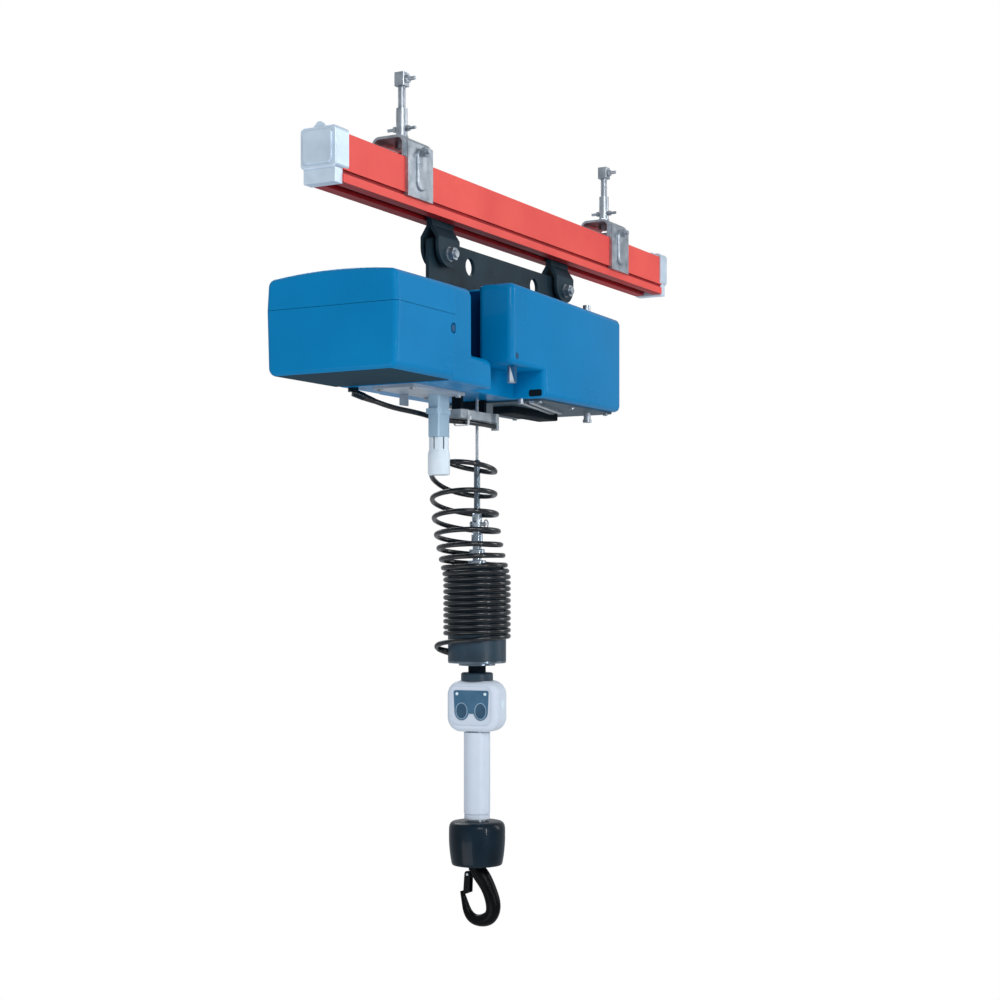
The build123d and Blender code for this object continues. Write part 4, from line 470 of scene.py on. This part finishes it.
def tube(name, line, radius, sides, mat):
    # round tube along a line of points, its rings turned as little as possible
    bm = bmesh.new()
    rings = []
    ahead = (line[1] - line[0]).normalized()
    side = ahead.orthogonal().normalized()
    for i, point in enumerate(line):
        before = line[max(i - 1, 0)]
        after = line[min(i + 1, len(line) - 1)]
        heading = (after - before).normalized()
        side = (side - heading * side.dot(heading)).normalized()
        up = heading.cross(side)
        ring = []
        for k in range(sides):
            turn = 2 * math.pi * k / sides
            ring.append(bm.verts.new(point + (side * math.cos(turn) + up * math.sin(turn)) * radius))
        rings.append(ring)
    skin(bm, rings)
    obj = meshObject(name, bm, mat)
    smooth(obj, 60)
    return obj


# the curly cable: heights are (turns, z), leans are (z, how far the turns stand left of the rope),
# and the tail is (angle round the rope, radius, z)
coil = {
    "start": (-0.2168, 0.0, -0.5625),
    "entry": ((-0.082, 0.010, -0.5600), (-0.063, 0.0285, -0.5570)),
    "tipAngle": -61.0,
    "radius": 0.051,
    "thick": 0.008,
    "firstTurns": 0.37,
    "closeTurns": 12.2,
    "pitch": 0.0094,
    "perTurn": 16,
    "sides": 10,
    "heights": ((-0.37, -0.5560), (-0.18, -0.5630), (0, -0.5750), (0.32, -0.5800), (0.68, -0.6010),
                (1, -0.6100), (1.33, -0.6240), (2, -0.6430), (3, -0.6710), (4, -0.6930),
                (5, -0.7105), (6, -0.7265)),
    "leans": ((-0.616, 0.0435), (-0.645, 0.038), (-0.673, 0.032), (-0.695, 0.024),
              (-0.712, 0.017), (-0.726, 0.010), (-0.738, 0.004), (-0.746, 0.0)),
    "tilt": 0.24,
    "tiltFrom": -0.600,
    "tiltTo": -0.733,
    "tail": ((206, 0.0515, -0.8443), (176, 0.054, -0.8458), (148, 0.061, -0.8488),
             (126, 0.066, -0.8543), (112, 0.062, -0.8613), (108, 0.0448, -0.8653)),
    "top": -0.561,
    "bell": -0.840,
}


def along(table, x):
    # value at x on a table of (x, value), with straight runs between its rows
    if (x - table[0][0]) * (table[1][0] - table[0][0]) <= 0:
        return table[0][1]
    for (x0, y0), (x1, y1) in zip(table, table[1:]):
        t = (x - x0) / (x1 - x0)
        if t <= 1:
            return y0 + (y1 - y0) * t
    return table[-1][1]


def coilHeight(turns):
    last = coil["heights"][-1]
    if turns > last[0]:
        return last[1] - coil["pitch"] * (turns - last[0])
    return along(coil["heights"], turns)


def polar(angle, radius, z):
    turn = math.radians(angle)
    return (ropeX + radius * math.cos(turn), radius * math.sin(turn), z)


def coilPoints():
    points = [coil["start"]] + [(ropeX + x, y, z) for x, y, z in coil["entry"]]
    openTurns = coil["heights"][-1][0]
    count = int((openTurns + coil["closeTurns"] + coil["firstTurns"]) * coil["perTurn"])
    for k in range(count + 1):
        turns = -coil["firstTurns"] + k / coil["perTurn"]
        angle = math.radians(coil["tipAngle"] - 360 * turns)
        z = coilHeight(turns)
        share = (coil["tiltTo"] - z) / (coil["tiltTo"] - coil["tiltFrom"])
        tilt = coil["tilt"] * min(max(share, 0), 1)
        x = coil["radius"] * math.cos(angle)
        points.append((ropeX - along(coil["leans"], z) + x, coil["radius"] * math.sin(angle), z - tilt * x))
    return points + [polar(*place) for place in coil["tail"]]


def blendOnLine(obj, line, sides):
    # each ring's points are moved to its centre on the line, the object's transform is baked in, then its
    # points go back to their places
    ringPlaces = [v.co.copy() for v in obj.data.vertices]
    for i, v in enumerate(obj.data.vertices):
        v.co = line[i // sides]
    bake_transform(obj)
    for v, ringPlace in zip(obj.data.vertices, ringPlaces):
        v.co = ringPlace
    obj.data.update()


coilLine = splineLine("coilRoute", coilPoints(), 4)
curlyCable = tube("curlyCable", coilLine, coil["thick"] / 2, coil["sides"], paint["rubber"])
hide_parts("spiral_cord", "cord_tail")
blendOnLine(curlyCable, coilLine, coil["sides"])

lead = {
    "thick": 0.008,
    "sides": 16,
    "route": [
        (-0.3400, 0.0703, -0.4757), (-0.3194, 0.0560, -0.4840), (-0.295, 0.0415, -0.4905),
        (-0.269, 0.030, -0.4935), (-0.241, 0.0215, -0.497), (-0.214, 0.0135, -0.502),
        (-0.186, 0.004, -0.5029), (-0.158, -0.004, -0.5023), (-0.132, -0.0085, -0.5031),
        (-0.106, -0.008, -0.5025), (-0.082, -0.010, -0.5039),
    ],
}
leadLine = splineLine("leadRoute", lead["route"], 12)
switchLead = tube("switchLead", leadLine, lead["thick"] / 2, lead["sides"], paint["rubber"])
place(switchLead, "hoist", "cable_black", "switch_lead")

rope = {"radius": 0.0025, "strands": 6, "strandShare": 0.36, "lay": 0.034, "steps": 48, "sides": 8,
        "top": -0.363, "middle": -0.46, "low": -0.559}


def strandedRope():
    # strands laid round the rope's axis
    bm = bmesh.new()
    strand = rope["radius"] * rope["strandShare"]
    reach = rope["radius"] - strand
    steps = rope["steps"]
    sides = rope["sides"]
    for s in range(rope["strands"]):
        rings = []
        for i in range(steps + 1):
            z = rope["top"] + (rope["low"] - rope["top"]) * i / steps
            turn = 2 * math.pi * (s / rope["strands"] + (rope["top"] - z) / rope["lay"])
            centre = Vector((ropeX + reach * math.cos(turn), reach * math.sin(turn), z))
            ring = []
            for k in range(sides):
                a = 2 * math.pi * k / sides
                ring.append(bm.verts.new(centre + Vector((math.cos(a), math.sin(a), 0)) * strand))
            rings.append(ring)
        skin(bm, rings)
    obj = meshObject("wireRope", bm, paint["zinc"])
    smooth(obj, 60)
    return obj


wireRope = strandedRope()
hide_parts("rope")
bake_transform(wireRope)


# dressing: pieces that the solids give only roughly


def lathe(name, profile, mat, centre=(ropeX, 0.0), steps=72):
    # closed profile of (radius, height) in mm, turned about an upright axis
    bm = bmesh.new()
    rings = []
    for radius, z in profile:
        ring = []
        for k in range(steps if radius > 0 else 1):
            turn = 2 * math.pi * k / steps
            ring.append(bm.verts.new((centre[0] + radius * mm * math.cos(turn),
                                      centre[1] + radius * mm * math.sin(turn), z * mm)))
        rings.append(ring)
    for a, b in zip(rings, rings[1:]):
        for k in range(steps):
            corners = [a[k % len(a)], a[(k + 1) % len(a)], b[(k + 1) % len(b)], b[k % len(b)]]
            corners = list(dict.fromkeys(corners))
            if len(corners) > 2:
                bm.faces.new(corners)
    bmesh.ops.recalc_face_normals(bm, faces=bm.faces)
    obj = meshObject(name, bm, mat)
    smooth(obj, 35)
    return obj


def ellipse(u, v, halfU, halfV, steps=40):
    turns = [2 * math.pi * k / steps for k in range(steps)]
    return [(u + halfU * math.cos(t), v + halfV * math.sin(t)) for t in turns]


def arc(u, v, halfU, halfV, first, last, steps=16):
    turns = [math.radians(first + (last - first) * k / steps) for k in range(steps + 1)]
    return [(u + halfU * math.cos(t), v + halfV * math.sin(t)) for t in turns]


def plate(name, loops, toSpace, low, high, mat, soften=0.0):
    # flat plate with openings: loops of (u, v) in mm, from depth low to depth high
    bm = bmesh.new()
    for loop in loops:
        verts = [bm.verts.new(toSpace(u, v, low)) for u, v in loop]
        for a, b in zip(verts, verts[1:] + verts[:1]):
            bm.edges.new((a, b))
    bmesh.ops.triangle_fill(bm, edges=bm.edges[:], use_beauty=True)
    flat = bm.faces[:]
    made = bmesh.ops.extrude_face_region(bm, geom=flat)
    shift = Vector(toSpace(0, 0, high)) - Vector(toSpace(0, 0, low))
    raised = [v for v in made["geom"] if isinstance(v, bmesh.types.BMVert)]
    bmesh.ops.translate(bm, vec=shift, verts=raised)
    bmesh.ops.recalc_face_normals(bm, faces=bm.faces)
    obj = meshObject(name, bm, mat)
    smooth(obj, 30)
    if soften:
        bevel = obj.modifiers.new("soften", "BEVEL")
        bevel.width = soften
        bevel.segments = 2
        bevel.limit_method = "ANGLE"
        obj = bake(obj)
    return obj


print("keypad and buttons")

# the head in mm, before it is turned about the rope: u across, z up, depth from the rope
head = {"turn": 7.0, "foil": -23.8, "front": -24.8, "buttonZ": -957.3, "buttonU": 16.2,
        "buttonHalf": (8.8, 11.8), "lobe": (12.2, 14.9), "lobeFrom": 197, "lobeTo": 352,
        "neck": (4.0, -961.6), "side": (29.4, -936.0), "corner": (26.6, -927.9, 3.2, 3.1),
        "lampU": 23.9, "lampZ": -930.3, "lampR": 2.5, "rim": 1.5, "rimFoot": 0.1, "rimTop": 0.35}


def onHead(u, v, depth):
    # point on the turned head: u along its width, v the height, depth toward the back
    turn = math.radians(head["turn"])
    return Vector((ropeX + (depth * math.cos(turn) - u * math.sin(turn)) * mm,
                   (depth * math.sin(turn) + u * math.cos(turn)) * mm, v * mm))


right = ([head["neck"]]
         + arc(head["buttonU"], head["buttonZ"], *head["lobe"], head["lobeFrom"], head["lobeTo"])
         + [head["side"]] + arc(*head["corner"], 0, 90, 6))
foilOutline = right + [(-u, v) for u, v in reversed(right)]
foilHoles = [ellipse(side * head["buttonU"], head["buttonZ"], *head["buttonHalf"]) for side in (-1, 1)]
foilHoles += [ellipse(side * head["lampU"], head["lampZ"], head["lampR"], head["lampR"], 20)
              for side in (-1, 1)]
foil = plate("keypadFoil", [foilOutline] + foilHoles, onHead, head["foil"], head["front"], paint["keypad"])
place(foil, "handle", "keypad_blue", "keypad")
for side, label in ((-1, "Left"), (1, "Right")):
    halfU, halfV = head["buttonHalf"]
    outer = ellipse(side * head["buttonU"], head["buttonZ"], halfU + head["rim"], halfV + head["rim"])
    inner = ellipse(side * head["buttonU"], head["buttonZ"], halfU, halfV)
    rim = plate("buttonRim" + label, [outer, inner], onHead, head["front"] + head["rimFoot"],
                head["front"] - head["rimTop"], paint["keypadRim"])
    place(rim, "handle", "keypad_blue")

print("lower cap, guide end and tie")

# turned outlines as (radius, height) in mm
capProfile = [(0, -1142.9), (15.1, -1142.9), (15.1, -1132.8), (22, -1132.8), (34, -1133.0), (39, -1134.0),
              (42.2, -1136.2), (44.0, -1139.8), (44.7, -1144.5), (44.8, -1150), (44.8, -1160), (44.5, -1169),
              (43.7, -1179), (42.5, -1189), (41.0, -1198), (40.2, -1201), (39.2, -1202.4), (37.5, -1202.8),
              (9.3, -1202.8), (9.3, -1167.0), (14.4, -1167.0), (14.4, -1159.3), (0, -1159.3)]
place(lathe("gripCap", capProfile, paint["blackPlastic"]), "handle", "black_plastic", "lower_cap")

guide = {"x": -238.0, "core": 12.6, "coreGap": 0.1, "collar": 15.2, "slots": 6, "slotTurn": 10.0,
         "fingersLow": -550.7, "fingersHigh": -532.2, "coreTop": -532.1, "coreLow": -572.0}
guideCentre = (guide["x"] * mm, 0.0)
guideProfile = [(12.8, -589.9), (15.0, -589.9), (16.4, -589.2), (17.0, -587.6), (17.0, -560.5),
                (16.7, -557.0), (15.9, -553.6), (15.2, -551.8), (15.2, -550.6), (12.8, -550.6),
                (12.8, -589.9)]
guideBody = lathe("guideBody", guideProfile, paint["guideWhite"], guideCentre, 56)
place(guideBody, "hoist", "white_plastic", "guide_end")
# painted shade: a black core fills the guide end's bore, so its slots show dark
coreProfile = [(0, guide["coreTop"]), (guide["core"], guide["coreTop"]),
               (guide["core"], guide["coreLow"]), (0, guide["coreLow"])]
place(lathe("guideShadeCore", coreProfile, paint["blackPartsAndShade"], guideCentre, 40), "hoist", "black_plastic")


def guideFingers():
    # the slotted collar above the guide end's body
    bm = bmesh.new()
    step = 360 / guide["slots"]
    for k in range(guide["slots"]):
        first = k * step + guide["slotTurn"] / 2
        last = (k + 1) * step - guide["slotTurn"] / 2
        outer = arc(0, 0, guide["collar"], guide["collar"], first, last, 8)
        inner = arc(0, 0, guide["core"] + guide["coreGap"], guide["core"] + guide["coreGap"], last, first, 8)
        skin(bm, [[bm.verts.new(((guide["x"] + u) * mm, v * mm, z * mm)) for u, v in outer + inner]
                  for z in (guide["fingersLow"], guide["fingersHigh"])])
    obj = meshObject("guideFingers", bm, paint["guideWhite"])
    smooth(obj, 30)
    return obj


place(guideFingers(), "hoist", "white_plastic")


def roundedLoop(u0, u1, v0, v1, radius):
    # rectangle with round corners, as one loop of points
    corners = ((u1 - radius, v1 - radius), (u0 + radius, v1 - radius),
               (u0 + radius, v0 + radius), (u1 - radius, v0 + radius))
    loop = []
    for i, (u, v) in enumerate(corners):
        loop += arc(u, v, radius, radius, 90 * i, 90 * i + 90, 6)
    return loop


def acrossRail(u, v, depth):
    return Vector((depth * mm, u * mm, v * mm))


tie = {"x": -168.0, "width": 4.5, "near": -11.4, "far": 15.4, "low": -508.6, "high": -482.6,
       "thick": 1.1, "round": 4.0, "innerRound": 3.0, "head": (-14.6, -11.2, -499.5, -493.0, 0.8),
       "headWider": 0.6}
tieLoops = [roundedLoop(tie["near"], tie["far"], tie["low"], tie["high"], tie["round"]),
            roundedLoop(tie["near"] + tie["thick"], tie["far"] - tie["thick"], tie["low"] + tie["thick"],
                        tie["high"] - tie["thick"], tie["innerRound"])]
tieBand = plate("cableTie", tieLoops, acrossRail, tie["x"], tie["x"] + tie["width"], paint["tieWhite"])
place(tieBand, "hoist", "white_plastic")
tieHead = plate("cableTieHead", [roundedLoop(*tie["head"])], acrossRail, tie["x"] - tie["headWider"],
                tie["x"] + tie["width"] + tie["headWider"], paint["tieWhite"])
place(tieHead, "hoist", "white_plastic")

print("housings")

gearLow, gearHigh = ([c / mm for c in corner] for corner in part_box("gear_housing"))
gearbox = {"back": gearLow[0], "front": -297.0, "foot": -235.0, "top": gearHigh[2], "step": -418.0,
           "low": gearLow[2], "half": gearHigh[1], "shoulderRound": 19.0, "stepRound": 14.0,
           "frontRound": 15.0, "cornerRound": 18.0, "topRound": 9.0, "lowRound": 6.0, "widest": 20.0}
tunnel = {"left": -256.0, "right": gearHigh[0], "near": -54.0, "far": 96.7, "top": -422.0,
          "low": gearLow[2] + 0.2}


def roundOff(obj, widest):
    bevel = obj.modifiers.new("rounding", "BEVEL")
    bevel.limit_method = "WEIGHT"
    bevel.width = widest * mm
    bevel.segments = 8


def lies(a, b, axis, value, slack=0.5):
    # whether both ends of an edge lie at a value of one axis
    return abs(a[axis] - value) < slack and abs(b[axis] - value) < slack


def gearboxRounding(a, b):
    # rounding in mm of the edge between a and b; the low block and the housing's back stay sharp
    flatOnes = ((1, tunnel["near"], 0.5), (0, tunnel["right"], 0.5), (0, gearbox["back"], 0.5),
                (0, tunnel["left"], 0.5), (2, tunnel["low"], 0.1), (2, tunnel["top"], 0.5))
    if any(lies(a, b, *flat) for flat in flatOnes):
        return 0.0
    alongY = abs(a.y - b.y) > 1
    upright = abs(a.z - b.z) > 1
    atFront = lies(a, b, 0, gearbox["front"])
    if lies(a, b, 2, gearbox["step"]):
        return gearbox["stepRound"]
    if upright:
        return gearbox["frontRound"] if atFront else gearbox["cornerRound"]
    if lies(a, b, 2, gearbox["top"]):
        if alongY:
            return gearbox["shoulderRound"] if atFront else 0.0
        return gearbox["topRound"]
    if alongY and not lies(a, b, 0, gearbox["foot"]):
        return 0.0
    return gearbox["lowRound"]


def gearboxShell():
    # the housing and, under it, the low block that reaches to the drive cover, each a profile run along Y
    housing = [(gearbox["back"], gearbox["low"]), (gearbox["foot"], gearbox["low"]),
               (gearbox["foot"], gearbox["step"]), (gearbox["front"], gearbox["step"]),
               (gearbox["front"], gearbox["top"]), (gearbox["back"], gearbox["top"])]
    block = [(tunnel["left"], tunnel["low"]), (tunnel["right"], tunnel["low"]),
             (tunnel["right"], tunnel["top"]), (tunnel["left"], tunnel["top"])]
    bm = bmesh.new()
    layer = bm.edges.layers.float.new("bevel_weight_edge")
    for first, last, profile in ((-gearbox["half"], gearbox["half"], housing),
                                 (tunnel["near"], tunnel["far"], block)):
        skin(bm, [[bm.verts.new((x * mm, y * mm, z * mm)) for x, z in profile] for y in (first, last)])
    for edge in bm.edges:
        a, b = (v.co / mm for v in edge.verts)
        edge[layer] = gearboxRounding(a, b) / gearbox["widest"]
    obj = meshObject("gearHousing", bm, paint["coverBlue"])
    roundOff(obj, gearbox["widest"])
    obj = bake(obj)
    smooth(obj, 40)
    return obj


place(gearboxShell(), "hoist", "cover_blue", "gear_housing")

coverLow, coverHigh = ([c / mm for c in corner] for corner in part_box("drive_cover_near"))
cover = {"left": coverLow[0], "notch": -172.0, "step": -96.7, "right": coverHigh[0], "armLow": -421.7,
         "low": coverLow[2], "topLeft": -296.5, "topRight": -306.0, "near": coverLow[1], "mid": -49.0,
         "far": coverHigh[1], "widest": 11.0, "shadeBehind": 1, "shadeBeside": 4, "shadeBelow": 3,
         "slot": (-104.0, -81.0, -460.5, -449.8, 3.2), "slotDepth": 6, "slotProud": 0.15,
         "screw": (-189.0, -408.0, 5.2, 5.2), "screwDepth": 2, "screwProud": 0.12}


def coverShell():
    # near half of the drive cover, its left end set back beside the suspension plate
    slope = (cover["topRight"] - cover["topLeft"]) / (cover["right"] - cover["left"])
    notchTop = cover["topLeft"] + slope * (cover["notch"] - cover["left"])
    bm = bmesh.new()
    layer = bm.edges.layers.float.new("bevel_weight_edge")

    def row(y, points):
        return [bm.verts.new((x * mm, y * mm, z * mm)) for x, z in points]

    body = [(cover["left"], cover["armLow"]), (cover["step"], cover["armLow"]),
            (cover["step"], cover["low"]), (cover["right"], cover["low"]),
            (cover["right"], cover["topRight"]), (cover["left"], cover["topLeft"])]
    notch = [(cover["notch"], cover["armLow"]), (cover["notch"], notchTop)]
    a1, a2, a3, a4, a5, a6 = first = row(cover["near"], body)
    s1, s2, s3, s4, s5, s6 = row(cover["mid"], body)
    b1, b6 = row(cover["mid"], notch)
    c1, c2, c3, c4, c5, c6 = back = row(cover["far"], notch[:1] + body[1:5] + notch[1:])
    faces = [first, (a1, s1, b1, s2, a2), (a2, s2, s3, a3), (a3, s3, s4, a4), (a4, s4, s5, a5),
             (a5, s5, b6, s6, a6), (a6, s6, s1, a1), (s1, s6, b6, b1), (b1, c1, c2, s2), (s2, c2, c3, s3),
             (s3, c3, c4, s4), (s4, c4, c5, s5), (s5, c5, c6, b6), (b6, c6, c1, b1), back]
    for corners in faces:
        bm.faces.new(corners)
    bmesh.ops.recalc_face_normals(bm, faces=bm.faces)
    rounding = {(a6, a1): 10, (a1, a2): 9, (a2, a3): 9, (a3, a4): 9, (a4, a5): 11, (a5, a6): 9,
                (a1, s1): 9, (a6, s6): 11, (a5, s5): 11, (a4, s4): 11, (s5, c5): 11, (s4, c4): 11,
                (s1, s6): 11, (s1, b1): 5, (s6, b6): 7, (b6, c6): 4, (a3, s3): 2, (s3, c3): 2}
    for ends, size in rounding.items():
        bm.edges.get(ends)[layer] = size / cover["widest"]
    obj = meshObject("driveCoverNear", bm, paint["coverBlue"])
    roundOff(obj, cover["widest"])
    obj = bake(obj)
    obj.data.materials.append(paint["notchShadeBlue"])
    # painted shade: the set-back left end's faces take a darker blue, for the shade that they lie in
    for face in obj.data.polygons:
        c = face.center / mm
        if (c.y > cover["mid"] + cover["shadeBehind"] and c.x < cover["notch"] + cover["shadeBeside"]
                and c.z < notchTop - cover["shadeBelow"]):
            face.material_index = 1
    smooth(obj, 40)
    return obj


place(coverShell(), "hoist", "cover_blue", "drive_cover_near")


def alongRail(u, v, depth):
    return Vector((u * mm, depth * mm, v * mm))


# painted shade: a black plate fills the slot's opening, for the shade inside it
coverSlotShade = plate("coverSlotShade", [roundedLoop(*cover["slot"])], acrossRail, cover["step"] + cover["slotDepth"],
                  cover["step"] - cover["slotProud"], paint["blackPartsAndShade"])
place(coverSlotShade, "hoist", "black_plastic")
# painted shade: a dark blue disc for the shaded screw recess on the cover's near face
coverScrewShade = plate("coverScrewShade", [ellipse(*cover["screw"], 28)], alongRail,
                   cover["near"] + cover["screwDepth"], cover["near"] - cover["screwProud"],
                   paint["screwRecessShade"], 0.0004)
place(coverScrewShade, "hoist", "cover_blue")

print("threads and screws")


def instanceTree(name, makeShape, inputs):
    # node tree that sets one shape on each point of the base mesh, with named inputs
    tree = bpy.data.node_groups.new(name, "GeometryNodeTree")
    tree.interface.new_socket("Geometry", in_out="INPUT", socket_type="NodeSocketGeometry")
    for label, value in inputs.items():
        kind = "NodeSocketInt" if isinstance(value, int) else "NodeSocketFloat"
        socket = tree.interface.new_socket(label, in_out="INPUT", socket_type=kind)
        socket.default_value = value
    tree.interface.new_socket("Geometry", in_out="OUTPUT", socket_type="NodeSocketGeometry")
    start = tree.nodes.new("NodeGroupInput")
    end = tree.nodes.new("NodeGroupOutput")
    onPoints = tree.nodes.new("GeometryNodeInstanceOnPoints")
    real = tree.nodes.new("GeometryNodeRealizeInstances")
    finish = tree.nodes.new("GeometryNodeSetMaterial")
    shape = makeShape(tree, start)
    tree.links.new(start.outputs["Geometry"], onPoints.inputs["Points"])
    tree.links.new(shape, onPoints.inputs["Instance"])
    tree.links.new(onPoints.outputs["Instances"], real.inputs["Geometry"])
    tree.links.new(real.outputs["Geometry"], finish.inputs["Geometry"])
    tree.links.new(finish.outputs["Geometry"], end.inputs["Geometry"])
    return tree, finish


def threadShape(tree, start):
    # a stack of rings with a pointed section: the crests of a thread
    line = tree.nodes.new("GeometryNodeMeshLine")
    tree.links.new(start.outputs["Turns"], line.inputs["Count"])
    drop = tree.nodes.new("ShaderNodeCombineXYZ")
    tree.links.new(start.outputs["Pitch"], drop.inputs["Z"])
    tree.links.new(drop.outputs["Vector"], line.inputs["Offset"])
    circle = tree.nodes.new("GeometryNodeCurvePrimitiveCircle")
    circle.inputs["Resolution"].default_value = 24
    tree.links.new(start.outputs["Radius"], circle.inputs["Radius"])
    crest = tree.nodes.new("GeometryNodeCurvePrimitiveCircle")
    crest.inputs["Resolution"].default_value = 4
    tree.links.new(start.outputs["Crest"], crest.inputs["Radius"])
    sweep = tree.nodes.new("GeometryNodeCurveToMesh")
    tree.links.new(circle.outputs["Curve"], sweep.inputs["Curve"])
    tree.links.new(crest.outputs["Curve"], sweep.inputs["Profile Curve"])
    stack = tree.nodes.new("GeometryNodeInstanceOnPoints")
    tree.links.new(line.outputs["Mesh"], stack.inputs["Points"])
    tree.links.new(sweep.outputs["Mesh"], stack.inputs["Instance"])
    return stack.outputs["Instances"]


def screwShape(tree, start):
    # a low cylinder head with a hexagon socket cut into it
    head = tree.nodes.new("GeometryNodeMeshCylinder")
    head.inputs["Vertices"].default_value = 24
    tree.links.new(start.outputs["Head Radius"], head.inputs["Radius"])
    tree.links.new(start.outputs["Head Height"], head.inputs["Depth"])
    key = tree.nodes.new("GeometryNodeMeshCylinder")
    key.inputs["Vertices"].default_value = 6
    tree.links.new(start.outputs["Socket Radius"], key.inputs["Radius"])
    tree.links.new(start.outputs["Head Height"], key.inputs["Depth"])
    drop = tree.nodes.new("ShaderNodeCombineXYZ")
    half = tree.nodes.new("ShaderNodeMath")
    half.operation = "MULTIPLY"
    half.inputs[1].default_value = -0.5
    tree.links.new(start.outputs["Head Height"], half.inputs[0])
    tree.links.new(half.outputs["Value"], drop.inputs["Z"])
    shift = tree.nodes.new("GeometryNodeTransform")
    tree.links.new(key.outputs["Mesh"], shift.inputs["Geometry"])
    tree.links.new(drop.outputs["Vector"], shift.inputs["Translation"])
    cut = tree.nodes.new("GeometryNodeMeshBoolean")
    cut.operation = "DIFFERENCE"
    tree.links.new(head.outputs["Mesh"], cut.inputs["Mesh 1"])
    tree.links.new(shift.outputs["Geometry"], cut.inputs["Mesh 2"])
    return cut.outputs["Mesh"]


def scatter(name, points, tree, finish, matName, values):
    # the tree's result on a handful of points, as a plain mesh
    bm = bmesh.new()
    for point in points:
        bm.verts.new([c * mm for c in point])
    obj = meshObject(name, bm, paint[matName])
    finish.inputs["Material"].default_value = paint[matName]
    mod = obj.modifiers.new("spread", "NODES")
    mod.node_group = tree
    for item in tree.interface.items_tree:
        if item.in_out == "INPUT" and item.name in values:
            mod[item.identifier] = values[item.name]
    obj = bake(obj)
    smooth(obj, 30)
    return obj


thread = {"Turns": 21, "Pitch": 0.0015, "Radius": 0.0053, "Crest": 0.0005}
rods = {"places": (-345, 345), "threadLow": -52.2}
threadTree, threadFinish = instanceTree("threadRings", threadShape, thread)
threadStarts = [(x, 0, rods["threadLow"]) for x in rods["places"]]
rodThreads = scatter("rodThreads", threadStarts, threadTree, threadFinish, "zinc", thread)
place(rodThreads, "runway", "zinc")

screw = {"Head Radius": 0.0042, "Head Height": 0.0032, "Socket Radius": 0.0022}
# fields of screws in mm: height, then places along and across the rail
screwFields = [(-469.4, (-357, -224), (-26, 31)), (-467.4, (-74, 40, 168), (-88, 88))]
screwTree, screwFinish = instanceTree("socketScrews", screwShape, screw)
underScrews = [(x, y, z) for z, xs, ys in screwFields for x in xs for y in ys]
screws = scatter("underScrews", underScrews, screwTree, screwFinish, "zinc", screw)
place(screws, "hoist", "zinc")

print("strain reliefs")

bootSides = 20


def boot(name, line, length, thick, thin):
    # short tapered sleeve along the start of a cord's own line
    kept = [line[0]]
    gone = 0.0
    for a, b in zip(line, line[1:]):
        gone += (b - a).length
        kept.append(b)
        if gone >= length:
            break
    obj = tube(name, kept, 1.0, bootSides, paint["rubber"])
    for i, v in enumerate(obj.data.vertices):
        ring = i // bootSides
        radius = thick + (thin - thick) * ring / (len(kept) - 1)
        v.co = kept[ring] + (v.co - kept[ring]) * radius
    return obj


coilBoot = boot("coilBoot", coilLine, length=0.014, thick=0.0058, thin=0.0045)
place(coilBoot, "hoist", "cable_black")
tailBoot = boot("tailBoot", list(reversed(coilLine)), length=0.016, thick=0.0058, thin=0.0044)
place(tailBoot, "rope_end", "cable_black")
leadBoot = boot("leadBoot", leadLine, length=0.018, thick=0.0056, thin=0.0043)
place(leadBoot, "hoist", "cable_black")
